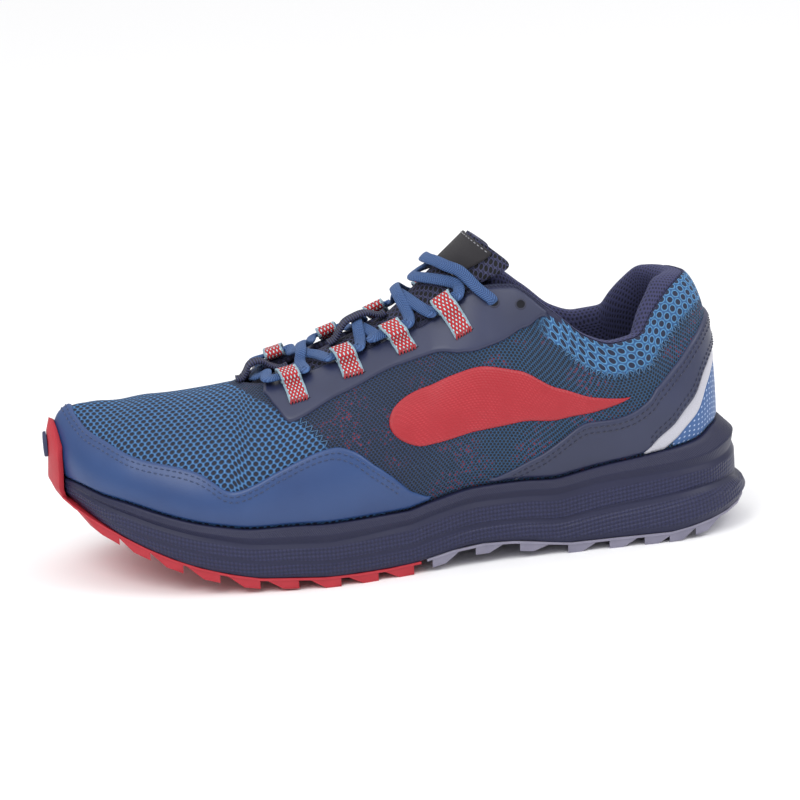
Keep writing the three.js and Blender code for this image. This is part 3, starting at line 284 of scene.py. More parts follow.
def sole_line(x):
    """Height of the sole's underside without the bevel of the heel."""
    share = (x + HEEL_BACK) / UPPER_LENGTH
    return LUG_DEPTH + spring(share) * TOE_SPRING + arch(share) * ARCH_RISE


def underside(x):
    return sole_line(x) + bevel((x + HEEL_BACK) / UPPER_LENGTH) * HEEL_BEVEL


def outline(side, station):
    """Plan of the last: side is 1 outside and -1 inside, station 0 at the heel, 1 at the toe."""
    x = -HEEL_BACK + UPPER_LENGTH * (1 - np.cos(np.pi * station)) / 2
    half = np.where(side > 0, last_outer(station), last_inner(station))
    return x, (last_axis(station) + side * half) * BALL_WIDTH


def wrapped(side, station):
    """Stations past an end go on along the other side."""
    beyond = (station < 0) | (station > 1)
    inside = np.where(station < 0, -station, np.where(station > 1, 2 - station, station))
    return np.where(beyond, -side, side), inside


def outline_normal(side, station):
    step = 0.004
    ahead = outline(*wrapped(side, station + step))
    behind = outline(*wrapped(side, station - step))
    run_x = ahead[0] - behind[0]
    run_y = ahead[1] - behind[1]
    length = np.hypot(run_x, run_y)
    return -run_y * side / length, run_x * side / length


def outline_out(side, station, out):
    """The outline moved outwards by a distance."""
    x, y = outline(side, station)
    normal_x, normal_y = outline_normal(side, station)
    return x + normal_x * out, y + normal_y * out


def height_of(level, station):
    x = outline(1, station)[0]
    if level == "base":
        return underside(x) + OUTSOLE_SKIN + GAP
    return sole_line(x) + level_share[level](station) * SOLE_STACK


def side_out(level, station):
    """How far a level of the midsole's side stands out from the last."""
    heel, waist, ball, toe = level[3:]
    rows = [(0, heel), (0.08, heel), (0.3, waist), (0.6, ball), (0.8, ball), (0.92, toe), (1, toe)]
    return column(rows, 1)(station) * SOLE_BULGE


def side_point(level, side, station):
    x, y = outline_out(side, station, side_out(level, station))
    high = height_of(level[0], station)
    low = underside(x) + OUTSOLE_SKIN + GAP if level[1] == "base" else height_of(level[1], station)
    lift = -0.05 if level[2] == 0 else 0
    return point(x, y, high + (low - high) * level[2] + lift)


def round_the_shoe(count=FINE_STATIONS):
    """Sides and stations once round: heel back, outer side, toe tip, inner side."""
    stations = np.linspace(0, 1, count)
    side = np.concatenate([np.ones(count), -np.ones(count - 2)])
    return side, np.concatenate([stations, stations[-2:0:-1]])


def run_along(points, axis):
    """Distance along rows of points, from the first one."""
    steps = np.linalg.norm(np.diff(points, axis=axis), axis=-1)
    run = np.cumsum(steps, axis=axis)
    start = np.zeros_like(np.take(run, [0], axis=axis))
    return np.concatenate([start, run], axis=axis)


def grid_faces(rows, columns, close_rows=False, close_columns=False):
    """Four-sided faces over a grid of points."""
    faces = []
    for i in range(rows if close_rows else rows - 1):
        for j in range(columns if close_columns else columns - 1):
            ahead = (i + 1) % rows
            beside = (j + 1) % columns
            faces.append((i * columns + j, i * columns + beside, ahead * columns + beside, ahead
                          * columns + j))
    return faces


def add_piece(name, points, faces, material, values=None):
    """A new piece from points in millimetres. Values are named vectors at its points."""
    mesh = bpy.data.meshes.new(name)
    mesh.from_pydata((np.asarray(points).reshape(-1, 3) * MM).tolist(), [], [tuple(face) for face in faces])
    for key, value in (values or {}).items():
        kept = mesh.attributes.new(key, "FLOAT_VECTOR", "POINT")
        kept.data.foreach_set("vector", np.asarray(value, np.float32).reshape(-1))
    mesh.materials.append(material)
    piece = bpy.data.objects.new(name, mesh)
    bpy.context.scene.collection.objects.link(piece)
    return piece


def join_shoe(piece, slot, *nodes):
    """Fixes a piece to the shoe and hides the nodes that it stands for. The slot argument is not used."""
    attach(piece, "root")
    if nodes:
        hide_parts(*nodes)


def weld(piece, distance_mm=0.02):
    """Joins points that lie together and turns every face outwards."""
    shape = bmesh.new()
    shape.from_mesh(piece.data)
    bmesh.ops.remove_doubles(shape, verts=shape.verts, dist=distance_mm * MM)
    bmesh.ops.recalc_face_normals(shape, faces=shape.faces)
    shape.to_mesh(piece.data)
    shape.free()
    piece.data.shade_smooth()


def soften(piece, levels=1):
    """Rounds a piece by subdivision."""
    rounding = piece.modifiers.new("rounding", "SUBSURF")
    rounding.levels = levels
    rounding.render_levels = levels


class Field:
    """A number that changes over a surface. Each sum with it adds its node."""

    def __init__(self, tree, socket):
        self.tree = tree
        self.socket = socket

    def sum(self, operation, *others, clamp=False):
        inputs = dict(enumerate((self, *others)))
        made = node(self.tree, "ShaderNodeMath", inputs, operation=operation, use_clamp=clamp)
        return Field(self.tree, made.outputs["Value"])

    def __add__(self, other):
        return self.sum("ADD", other)

    def __sub__(self, other):
        return self.sum("SUBTRACT", other)

    def __mul__(self, other):
        return self.sum("MULTIPLY", other)

    def __truediv__(self, other):
        return self.sum("DIVIDE", other)

    def __pow__(self, other):
        return self.sum("POWER", other)

    def __abs__(self):
        return self.sum("ABSOLUTE")

    def sine(self):
        return self.sum("SINE")

    def fraction(self):
        return self.sum("FRACT")

    def least(self, other):
        return self.sum("MINIMUM", other)

    def ramp(self, start, end):
        """Goes smoothly from 0 at start to 1 at end."""
        if start > end:
            return self.ramp(end, start).sum("MULTIPLY_ADD", -1.0, 1.0)
        inputs = {"Value": self, "From Min": start, "From Max": end}
        made = node(self.tree, "ShaderNodeMapRange", inputs, interpolation_type="SMOOTHSTEP")
        return Field(self.tree, made.outputs["Result"])


def kept_vector(tree, key):
    """The values kept at a piece's points, as separate fields."""
    kept = node(tree, "ShaderNodeAttribute", attribute_name=key)
    parts = node(tree, "ShaderNodeSeparateXYZ", {"Vector": kept.outputs["Vector"]}).outputs
    return {axis: Field(tree, parts[axis]) for axis in "XYZ"}


def mixed(tree, share, first, second):
    """Colour between two colours, given as hex or sockets."""
    first = linear(first) if isinstance(first, str) else first
    second = linear(second) if isinstance(second, str) else second
    return node(tree, "ShaderNodeMix", {0: share, 6: first, 7: second}, data_type="RGBA").outputs[2]


def lattice(along, down, pitch, row_pitch):
    """Distance to the nearest point of a staggered lattice: 0 on a point, near 1 between."""
    nearest = None
    for shift in (0.0, 0.5):
        parts = []
        for value, size in ((along, pitch), (down, 2 * row_pitch)):
            share = value / size + shift
            offset = share.fraction() - 0.5
            parts.append(offset * (size / pitch * 2))
        length = (abs(parts[0]) ** 2.0 + abs(parts[1]) ** 2.0) ** 0.5
        nearest = length if nearest is None else nearest.least(length)
    return nearest


def speckle(tree, size_mm, detail=2.0):
    """Fine noise of a real size, from 0 to 1."""
    place = node(tree, "ShaderNodeTexCoord").outputs["Object"]
    inputs = {"Vector": place, "Scale": 1 / (size_mm * MM), "Detail": detail}
    return Field(tree, node(tree, "ShaderNodeTexNoise", inputs).outputs["Fac"])


# Moulded EVA is satin and a little soft to the light. Its side is engraved with a fine
# weave on the upper tier and small diamonds on the lower one.
def moulded_foam():
    material, tree = new_material("moulded_eva_foam")
    place = kept_vector(tree, "place")
    turn = 2 * math.pi / FOAM_CELL_MM
    plus = ((place["X"] + place["Y"]) * (turn / 2)).sine()
    minus = ((place["X"] - place["Y"]) * (turn / 2)).sine()
    diamonds = plus * minus
    ribs_turn = 2 * math.pi / FOAM_RIB_MM
    ribs = ((place["X"] + place["Y"] * 0.6) * ribs_turn).sine()
    level = place["Z"]
    on_upper = level.ramp(1.1, 1.4) * level.ramp(2.9, 2.6)
    on_tier = level.ramp(3.9, 4.15) * level.ramp(5.3, 5.0)
    on_flare = level.ramp(6.3, 6.7) * level.ramp(8.6, 8.0)
    engraved = on_tier.sum("ADD", on_flare, clamp=True)
    height = diamonds * engraved * 1.0 + ribs * on_upper * 0.25
    height = height + speckle(tree, 0.5) * 0.15
    # Painted highlight: the raised tops of the engraved diamonds are painted lighter, following their bump.
    # The cloudy tone below is the foam's own.
    shade = diamonds.ramp(-0.5, 0.7) * engraved * 0.55
    cloudy = speckle(tree, 30.0) * 0.25
    colour = mixed(tree, shade.sum("ADD", cloudy, clamp=True), FOAM_COLOUR, FOAM_CLOUD_AND_HIGHLIGHT)
    return finish(material, {"Base Color": colour, "Roughness": 0.45, "IOR": 1.4}, (height, 0.25, 0.9))


def closed_block(rows, count):
    """Faces of rings round the shoe, closed from side to side below and above."""
    faces = grid_faces(rows, count, close_columns=True)
    end = (rows - 1) * count
    for j in range(count // 2):
        across = (count - j) % count
        beyond = (count - j - 1) % count
        faces.append((j, across, beyond, j + 1))
        faces.append((end + j, end + j + 1, end + beyond, end + across))
    return faces


def make_midsole():
    side, station = round_the_shoe()
    rings = []
    levels = []
    for index, level in enumerate(SIDE_LEVELS):
        rings.append(side_point(level, side, station))
        levels.append(float(index))
        if index < len(SIDE_LEVELS) - 1:
            following = side_point(SIDE_LEVELS[index + 1], side, station)
            for share in (0.12, 0.5, 0.88):
                rings.append(side_point(level, side, station) * (1 - share) + following * share)
                levels.append(index + share)
    rings = np.array(rings)
    along = run_along(rings[len(rings) // 2], 0)
    down = run_along(rings, 0)
    place = point(along[None, :], down, np.array(levels)[:, None])
    faces = closed_block(len(rings), len(side))
    piece = add_piece("midsole_block", rings, faces, moulded_foam(), {"place": place})
    weld(piece)
    join_shoe(piece, "midsole_foam", "midsole")


make_midsole()

# Outsoles: two moulded rubber treads glued under the midsole, red in front with the toe
# bumper turned up over the tip, grey behind. The lugs' edges are slightly rounded.
LUG_ROUND_MM = 0.45


def moulded_rubber(name, colour, light):
    """Matt rubber with a faint mould grain, cloudy in places."""
    material, tree = new_material(name)
    cloudy = speckle(tree, 9.0)
    grain = speckle(tree, 0.35, 3.0)
    tone = mixed(tree, cloudy * 0.7, colour, light)
    return finish(material, {"Base Color": tone, "Roughness": 0.62, "IOR": 1.52}, (grain, 0.12, 0.6))


def make_outsole(name, node_name, slot_name, material):
    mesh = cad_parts[node_name].data.copy()
    mesh.name = name
    piece = bpy.data.objects.new(name, mesh)
    bpy.context.scene.collection.objects.link(piece)
    mesh.materials.clear()
    mesh.materials.append(material)
    weld(piece, 0.005)
    edges = piece.modifiers.new("edges", "BEVEL")
    edges.width = LUG_ROUND_MM * MM
    edges.segments = 2
    edges.angle_limit = math.radians(35)
    join_shoe(piece, slot_name, node_name)


make_outsole("forefoot_tread", "outsole_forefoot", "red_rubber",
             moulded_rubber("red_rubber_tread", "#a51827", "#c23441"))
make_outsole("rear_tread", "outsole_rear", "grey_rubber",
             moulded_rubber("grey_rubber_tread", "#767488", "#9592a4"))

# Upper: one shell of knitted polyester mesh over a thin lining, pulled over the last and
# closed underneath by the sole. Its knit changes from open honeycomb on the vamp to a fine
# mesh on the quarters and large cells round the collar.
THROAT_FRONT = 0.6875
UPPER_WALL = 2.0
RIB_COUNT = 49
TOP_LINE = [
    # at, along, axis, half, rise, low out, low up, top out, top down
    (0.0, 0.039, 0, 0, 0.855, 0, 0.42, 0.14, 0.12),
    (0.05, 0.0511, 0, 0.1, 0.858, 0, 0.42, 0.16, 0.13),
    (0.1, 0.0784, 0, 0.2, 0.83, 0.02, 0.4, 0.12, 0.18),
    (0.15, 0.1158, 0, 0.28, 0.751, 0.04, 0.38, 0.06, 0.26),
    (0.2, 0.1441, 0, 0.34, 0.664, 0.06, 0.36, 0.03, 0.3),
    (0.25, 0.1835, 0, 0.36, 0.669, 0.07, 0.36, 0.02, 0.32),
    (0.3, 0.2249, 0, 0.345, 0.748, 0.08, 0.36, 0.05, 0.32),
    (0.35, 0.2744, 0, 0.3, 0.953, 0.1, 0.36, 0.1, 0.32),
    (0.4, 0.327, 0, 0.215, 1.087, 0.12, 0.36, 0.16, 0.3),
    (0.44, 0.3664, 0, 0.19, 1.083, 0.13, 0.36, 0.2, 0.28),
    (0.5, 0.4401, 0, 0.185, 1.008, 0.14, 0.36, 0.26, 0.24),
    (0.6, 0.5806, -0.01, 0.17, 0.816, 0.13, 0.4, 0.36, 0.12),
    (0.64, 0.6544, -0.018, 0.155, 0.725, 0.13, 0.42, 0.42, 0.06),
    (0.665, 0.7019, -0.023, 0.12, 0.69, 0.13, 0.43, 0.45, 0.04),
    (0.6875, 0.7322, -0.028, 0, 0.655, 0.13, 0.44, 0.48, 0.02),
    (0.8, 0.8454, -0.06, 0, 0.494, 0.13, 0.48, 0.55, 0),
    (0.9, 0.9222, -0.09, 0, 0.402, 0.1, 0.52, 0.5, 0),
    (1.0, 0.9616, -0.105, 0, 0.386, 0.08, 0.55, 0.45, 0),
]
VAMP_SEAM = 0.5266
VAMP_SEAM_LEAN = 0.17
VAMP_CELL_MM = 3.0
VAMP_ROW_MM = 2.1
QUARTER_CELL_MM = 1.7
QUARTER_ROW_MM = 1.25
COLLAR_CELL_MM = 4.3
COLLAR_ROW_MM = 3.6
COLLAR_BAND_MM = 14.0
KNIT_HOLE = "#0a1228"
KNIT_BASE = "#183a62"
KNIT_THREAD = "#4174a6"
QUARTER_HOLE = "#060b18"
QUARTER_THREAD = "#21496f"
QUARTER_SHADE = "#1c3358"
QUARTER_RED = "#6a1a2c"
COLLAR_THREAD = "#528bba"
COLLAR_HOLE = "#0d1b38"
EDGE_NAVY = "#1f2140"
COLLAR_BASE = "#235080"
LINING_COLOUR = "#2d2e4e"

top = {}
TOP_COLUMNS = ("along", "axis", "half", "rise", "low_out", "low_up", "top_out", "top_down")
for index, title in enumerate(TOP_COLUMNS, start=1):
    top[title] = column(TOP_LINE, index, odd=title == "half")


def rib_point(side, station, rib):
    """Point of the upper's outer face: rib is 0 at the feather line and 1 at the top line."""
    side, station, rib = np.broadcast_arrays(side, station, rib)
    x, y = outline(side, station)
    normal_x, normal_y = outline_normal(side, station)
    foot = height_of("feather", station)
    rise = top["rise"](station) * INSTEP_HEIGHT
    half = np.where(station >= THROAT_FRONT, 0, top["half"](station))
    low = point(x, y, foot)
    high = point(
        -HEEL_BACK + top["along"](station) * UPPER_LENGTH,
        (top["axis"](station) + side * half) * BALL_WIDTH,
        foot + rise,
    )
    low_out = top["low_out"](station) * rise
    top_out = top["top_out"](station) * rise
    low_handle = low + point(normal_x * low_out, normal_y * low_out, top["low_up"](station) * rise)
    high_handle = high + point(normal_x * top_out, normal_y * top_out, -top["top_down"](station) * rise)
    t = rib[..., None]
    return (1 - t) ** 3 * low + 3 * (1 - t) ** 2 * t * low_handle + 3 * (1
            - t) * t * t * high_handle + t ** 3 * high


def rib_normal(side, station, rib):
    step = 0.004
    ahead = wrapped(side, station + step)
    behind = wrapped(side, station - step)
    along = rib_point(*ahead, rib) - rib_point(*behind, rib)
    upwards = rib_point(side, station, np.minimum(rib + step, 1)) - rib_point(side, station,
                                                                              np.maximum(rib - step, 0))
    return unit(np.cross(upwards, along) * np.asarray(side, float)[..., None])


def skin(side, station, rib, out):
    """Point at a distance out from the upper's outer face."""
    side, station, rib, out = np.broadcast_arrays(side, station, rib, out)
    normal = rib_normal(side, station, rib)
    ridge = (rib > 0.999) & (station >= THROAT_FRONT)
    normal = np.where(ridge[..., None], normal + rib_normal(-side, station, rib), normal)
    level = np.clip(rib / 0.12, 0, 1)
    normal = normal * point(1, 1, level * level * (3 - 2 * level))
    return rib_point(side, station, rib) + unit(normal) * out[..., None]


# The knit: pale threads round dark openings, a little fuzzy at grazing angles
def knitted_mesh():
    material, tree = new_material("knitted_polyester_mesh")
    place = kept_vector(tree, "place")
    where = kept_vector(tree, "where")
    station, rib = where["X"], where["Y"]
    wobble = (speckle(tree, 7.0) - 0.5) * 0.5
    along = place["X"] + wobble
    down = place["Y"] + wobble
    patchy = speckle(tree, 16.0)

    vamp_cell = lattice(along, down, VAMP_CELL_MM, VAMP_ROW_MM)
    vamp_solid = vamp_cell.ramp(0.46, 0.66)
    vamp_light = vamp_cell.ramp(0.6, 1.0)
    vamp = mixed(tree, vamp_light, KNIT_BASE, KNIT_THREAD)
    vamp = mixed(tree, vamp_solid, KNIT_HOLE, vamp)

    fine_cell = lattice(along, down, QUARTER_CELL_MM, QUARTER_ROW_MM)
    fine_solid = fine_cell.ramp(0.45, 0.85)
    red_yarns = patchy.ramp(0.5, 0.62) * speckle(tree, 1.6, 1.0).ramp(0.55, 0.6)
    backing = mixed(tree, red_yarns, QUARTER_HOLE, QUARTER_RED)
    yarn = mixed(tree, station.ramp(0.4, 0.54), QUARTER_THREAD, QUARTER_SHADE)
    quarter = mixed(tree, fine_solid, backing, yarn)

    collar_cell = lattice(along, down, COLLAR_CELL_MM, COLLAR_ROW_MM)
    collar_solid = collar_cell.ramp(0.52, 0.7)
    collar = mixed(tree, collar_cell.ramp(0.72, 0.98), COLLAR_THREAD, COLLAR_BASE)
    collar = mixed(tree, collar_solid, COLLAR_HOLE, collar)

    beyond_seam = station - rib * VAMP_SEAM_LEAN
    on_vamp = beyond_seam.ramp(VAMP_SEAM, VAMP_SEAM + 0.004)
    on_collar = place["Y"].ramp(COLLAR_BAND_MM + 0.6, COLLAR_BAND_MM - 0.6) * station.ramp(0.375, 0.345)
    colour = mixed(tree, on_vamp, quarter, vamp)
    colour = mixed(tree, on_collar, colour, collar)
    bound_edge = place["Y"].ramp(3.0, 2.6) * station.ramp(0.33, 0.335)
    bound_edge = bound_edge * station.ramp(THROAT_FRONT, THROAT_FRONT - 0.004)
    colour = mixed(tree, bound_edge, colour, EDGE_NAVY)
    height = fine_solid + (vamp_solid - fine_solid) * on_vamp
    height = height + (collar_solid - height) * on_collar
    fibres = speckle(tree, 0.25) * 0.25
    height = height + fibres
    tone = node(tree, "ShaderNodeHueSaturation", {
        "Color": colour, "Value": patchy * 0.3 + 0.85,
    }).outputs["Color"]
    return finish(material, {
        "Base Color": tone, "Roughness": 0.72, "IOR": 1.5,
        "Sheen Weight": 0.12, "Sheen Roughness": 0.4, "Sheen Tint": linear("#9fc0e8"),
    }, (height, 0.5, 1.0))


def lining_cloth(name="brushed_lining_cloth", colour=LINING_COLOUR):
    """Brushed polyester with small eyelets, soft and matt."""
    material, tree = new_material(name)
    place = kept_vector(tree, "place")
    cell = lattice(place["X"], place["Y"], 2.2, 1.7)
    solid = cell.ramp(0.3, 0.75)
    tone = mixed(tree, solid, "#14152b", colour)
    height = solid + speckle(tree, 0.3) * 0.4
    return finish(material, {
        "Base Color": tone, "Roughness": 0.85,
        "Sheen Weight": 0.25, "Sheen Roughness": 0.5, "Sheen Tint": linear("#8a90c0"),
    }, (height, 0.3, 0.8))


def make_upper():
    side, station = round_the_shoe(FINE_STATIONS)
    share = np.linspace(0, 1, RIB_COUNT)
    outer = skin(side[:, None], station[:, None], share[None, :], 0.0)
    inner = skin(side[:, None], station[:, None], share[None, ::-1], -UPPER_WALL)
    shell = np.concatenate([outer, inner], axis=1)
    # Distances along the shoe start at the front of the throat, and down from the top edge
    along = np.zeros(outer.shape[:2])
    for one in (1, -1):
        rows = np.flatnonzero((side == one) | (station == 0) | (station == 1))
        rows = rows[np.argsort(station[rows])]
        run = run_along(outer[rows], 0)
        start = run[np.argmin(np.abs(station[rows] - THROAT_FRONT))]
        along[rows] = run - start
    down = run_along(outer[:, ::-1], 1)[:, ::-1]
    place = point(along, down, 0)
    place = np.concatenate([place, place[:, ::-1]], axis=1)
    where = point(station[:, None], share[None, :], side[:, None])
    where = np.concatenate([where, where[:, ::-1]], axis=1)
    rows, columns = shell.shape[:2]
    closed = station > THROAT_FRONT - 1e-6
    faces = []
    for face in grid_faces(rows, columns, close_rows=True, close_columns=True):
        i, j = divmod(face[0], columns)
        if j == RIB_COUNT - 1 and closed[i] and closed[(i + 1) % rows]:
            continue
        faces.append(face)
    piece = add_piece("upper_shell", shell, faces, knitted_mesh(), {"place": place, "where": where})
    piece.data.materials.append(lining_cloth())
    for face in piece.data.polygons:
        corners = [corner % columns for corner in face.vertices]
        if min(corners) >= RIB_COUNT - 1 or max(corners) - min(corners) > 2:
            face.material_index = 1
    weld(piece)
    join_shoe(piece, "upper_mesh", "upper")


make_upper()

# Toe rand: smooth polyurethane film bonded low round the toe box and stitched twice along
# its upper border. Films stand a little proud of the mesh with soft edges.
FILM_FACE = 1.3
FILM_ROUND = 1.6
RAND_COLOUR = "#1b3768"
RAND_CLOUD_AND_HIGHLIGHT = "#2a4a7e"
STITCH_MM = 2.0
STITCH_GAP_MM = 0.7
THREAD_MM = 0.55
TOE_RAND = [
    # at, low, high
    (0.484, 0.01, 0.03),
    (0.5, 0.01, 0.08),
    (0.528, 0.01, 0.2),
    (0.552, 0.01, 0.29),
    (0.576, 0.01, 0.38),
    (0.592, 0.01, 0.412),
    (0.636, 0.01, 0.338),
    (0.66, 0.01, 0.27),
    (0.684, 0.01, 0.225),
    (0.72, 0.01, 0.325),
    (0.74, 0.01, 0.348),
    (0.796, 0.01, 0.365),
    (0.852, 0.01, 0.475),
    (0.888, 0.01, 0.54),
    (0.928, 0.01, 0.675),
    (0.972, 0.01, 0.84),
    (1, 0.01, 0.88),
]


def on_both_sides(first, final, step=0.004):
    """Places along a film that wraps an end of the shoe."""
    count = max(int(round((final - first) / step)) + 1, 4)
    stations = np.linspace(first, final, count)
    if final == 1:
        return np.concatenate([np.ones(count), -np.ones(count - 1)]), np.concatenate([stations,
                                                                                      stations[-2::-1]])
    return np.concatenate([-np.ones(count), np.ones(count - 1)]), np.concatenate([stations[::-1],
                                                                                  stations[1:]])


def on_one_side(side, first, final, step=0.004):
    count = max(int(round((final - first) / step)) + 1, 4)
    return np.full(count, float(side)), np.linspace(first, final, count)


def rib_length(side, station):
    shares = np.linspace(0, 1, 31)
    points = rib_point(side[:, None], station[:, None], shares[None, :])
    return np.linalg.norm(np.diff(points, axis=1), axis=-1).sum(axis=1)


def film_sheet(name, places, low, high, material, out=FILM_FACE, middle_rows=14):
    """A bonded film between two borders, with rounded edges that dip into the mesh."""
    side, station = places
    length = rib_length(side, station)
    width = np.maximum((high(station) - low(station)) * length, 0.4)
    fall = np.array([0.0, 0.12, 0.35, 0.65, 1.0])
    round_mm = np.minimum(FILM_ROUND, width * 0.45)
    shares = []
    outs = []
    for part in fall:
        shares.append(part * round_mm / width)
        outs.append(part)
    for part in np.linspace(0, 1, middle_rows + 2)[1:-1]:
        shares.append(round_mm / width + part * (1 - 2 * round_mm / width))
        outs.append(1.0)
    for part in fall[::-1]:
        shares.append(1 - part * round_mm / width)
        outs.append(part)
    shares = np.array(shares).T
    outs = np.array(outs)[None, :]
    lift = np.sqrt(np.clip(1 - (1 - outs) ** 2, 0, 1)) * (out + 0.15) - 0.15
    ends = np.ones(len(station))
    run = run_along(rib_point(side, station, (low(station) + high(station)) / 2), 0)
    for distance in (run, run[-1] - run):
        ends = np.minimum(ends, np.clip(distance / FILM_ROUND, 0, 1))
    lift = np.minimum(lift, np.sqrt(1 - (1 - ends[:, None]) ** 2) * (out + 0.15) - 0.15)
    rib = low(station)[:, None] + shares * (high(station) - low(station))[:, None]
    points = skin(side[:, None], station[:, None], rib, lift)
    from_top = (1 - shares) * width[:, None]
    place = point(run[:, None], from_top, np.minimum(from_top, shares * width[:, None]))
    where = point(station[:, None], rib, side[:, None])
    piece = add_piece(name, points, grid_faces(*points.shape[:2]), material,
                      {"place": place, "where": where})
    piece.data.shade_smooth()
    face_outwards(piece)
    return piece


def face_outwards(piece):
    """Turns an open sheet's faces away from the middle of the shoe."""
    shape = bmesh.new()
    shape.from_mesh(piece.data)
    bmesh.ops.remove_doubles(shape, verts=shape.verts, dist=0.005 * MM)
    bmesh.ops.recalc_face_normals(shape, faces=shape.faces)
    outwards = 0.0
    for face in shape.faces:
        centre = face.calc_center_median()
        away = Vector((0, centre.y, centre.z - 0.03))
        if centre.x > 0.2 or centre.x < 0:
            away.x = centre.x - 0.1
        outwards += face.normal.dot(away) * face.calc_area()
    if outwards < 0:
        bmesh.ops.reverse_faces(shape, faces=shape.faces)
    shape.to_mesh(piece.data)
    shape.free()
    piece.data.shade_smooth()


def satin_film(name, colour, light, grain_mm=0.45):
    """Polyurethane film: satin, with a very fine leather-like grain."""
    material, tree = new_material(name)
    place = kept_vector(tree, "place")
    cloudy = speckle(tree, 22.0)
    grain = speckle(tree, grain_mm, 3.0)
    tone = mixed(tree, cloudy * 0.8, colour, light)
    # Painted highlight: within a millimetre of a film's border, where its edge rounds down into the mesh,
    # the colour is painted lighter.
    edge = place["Z"].ramp(0.9, 0.2)
    tone = mixed(tree, edge * 0.35, tone, light)
    height = grain * 0.5 + speckle(tree, 6.0) * 0.8
    return finish(material, {
        "Base Color": tone, "Roughness": 0.42, "IOR": 1.5,
        "Coat Weight": 0.12, "Coat Roughness": 0.35,
    }, (height, 0.12, 0.7))


def sewing_thread(name, colour):
    """Twisted polyester thread, slightly shiny."""
    material, tree = new_material(name)
    twist = speckle(tree, 0.4)
    tone = mixed(tree, twist, colour, "#0d1226")
    return finish(material, {
        "Base Color": tone, "Roughness": 0.55,
        "Sheen Weight": 0.2,
    }, (twist, 0.1, 0.6))


def evenly(points, normals, step):
    """The points of a path at even steps, with their normals."""
    run = run_along(points, 0)
    places = np.arange(step / 2, run[-1], step)
    path = np.stack([np.interp(places, run, points[:, k]) for k in range(3)], axis=-1)
    up = np.stack([np.interp(places, run, normals[:, k]) for k in range(3)], axis=-1)
    return path, unit(up)


def beads(paths, sides=6):
    """Points and faces of short round threads, one along each path of five points."""
    points = []
    faces = []
    thick = np.array([0.55, 0.95, 1.0, 0.95, 0.55])
    angle = np.arange(sides) * 2 * np.pi / sides
    for path, up, radius in paths:
        run = unit(path[-1] - path[0])
        beside = unit(np.cross(run, up))
        start = len(points)
        for row, scale in zip(path, thick):
            for a in angle:
                points.append(row + (beside * math.cos(a) + up * math.sin(a)) * radius * scale)
        for i in range(len(path) - 1):
            for j in range(sides):
                k = (j + 1) % sides
                faces.append((start + i * sides + j, start + i * sides + k,
                              start + (i + 1) * sides + k, start + (i + 1) * sides + j))
        end = start + (len(path) - 1) * sides
        faces.append(tuple(start + j for j in reversed(range(sides))))
        faces.append(tuple(end + j for j in range(sides)))
    return points, faces


def stitch_row(points, normals, length=STITCH_MM, gap=STITCH_GAP_MM, thread=THREAD_MM):
    """Threads of one row of stitches: each rises from one hole and dips into the next."""
    centres, ups = evenly(points, normals, length + gap)
    runs = np.gradient(centres, axis=0)
    threads = []
    for centre, up_vector, run in zip(centres, ups, unit(runs)):
        shares = np.array([-0.5, -0.28, 0.0, 0.28, 0.5])
        rise = np.array([-0.35, 0.2, 0.34, 0.2, -0.35]) * thread
        path = centre + shares[:, None] * length * run + rise[:, None] * up_vector
        threads.append((path, up_vector, thread / 2))
    return threads


def add_stitches(name, rows, material):
    threads = []
    for points, normals in rows:
        threads += stitch_row(points, normals)
    points, faces = beads(threads)
    piece = add_piece(name, points, faces, material)
    piece.data.shade_smooth()
    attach(piece, "root")
    return piece


def border_line(places, border, length_share, inset, out):
    """A line on a film at a distance inside its border; length_share is 1 below, -1 above."""
    side, station = places
    share = border(station) + length_share * inset / rib_length(side, station)
    return skin(side, station, share, out), rib_normal(side, station, share)


rand_places = on_both_sides(0.484, 1)
rand_low = column(TOE_RAND, 1)
rand_high = column(TOE_RAND, 2)
rand = film_sheet("toe_rand_film", rand_places, rand_low, rand_high,
                  satin_film("blue_polyurethane_film", RAND_COLOUR, RAND_CLOUD_AND_HIGHLIGHT))
join_shoe(rand, "rand_film", "toe_rand")
rand_thread = sewing_thread("blue_polyester_thread", "#2b4a80")
rand_stitched = on_both_sides(0.52, 1)
rand_rows = [border_line(rand_stitched, rand_high, -1, inset, FILM_FACE) for inset in (2.6, 5.0)]
add_stitches("toe_rand_stitches", rand_rows, rand_thread)

# Eyestays: matt navy film over the mesh along both sides of the throat, with a punched
# eyelet at the top and small scallops where the lace dips between the loops.
OVERLAY_COLOUR = "#1d233f"
OVERLAY_CLOUD_AND_HIGHLIGHT = "#2e3556"
EYESTAY = [
    (0.353, 0.94, 0.975),
    (0.384, 0.79, 0.975),
    (0.424, 0.7, 0.975),
    (0.452, 0.68, 0.975),
    (0.476, 0.713, 0.975),
    (0.51, 0.79, 0.975),
    (0.548, 0.787, 0.975),
    (0.6, 0.7, 0.975),
    (0.636, 0.6, 0.975),
    (0.652, 0.74, 0.975),
    (0.662, 0.86, 0.975),
]
LOOP_STATIONS = (0.644, 0.598, 0.546, 0.487)
SCALLOP = 0.02

overlay_film = satin_film("navy_polyurethane_film", OVERLAY_COLOUR, OVERLAY_CLOUD_AND_HIGHLIGHT, 0.35)
overlay_thread = sewing_thread("navy_polyester_thread", "#232746")
eyestay_low = column(EYESTAY, 1)


def eyestay_high(station):
    """Top border of the eyestay, cut away a little between the loops."""
    cut = np.zeros_like(station)
    for first, second in zip(LOOP_STATIONS[:-1], LOOP_STATIONS[1:]):
        middle = (first + second) / 2
        cut = np.maximum(cut, np.exp(-((station - middle) / 0.009) ** 2))
    return 0.98 - SCALLOP * cut


for label, side in (("lateral", 1), ("medial", -1)):
    eyestay = film_sheet(f"eyestay_film_{label}", on_one_side(side, 0.353, 0.662, 0.002), eyestay_low,
                         eyestay_high, overlay_film)
    join_shoe(eyestay, "overlay_film", f"eyestay_{label}")

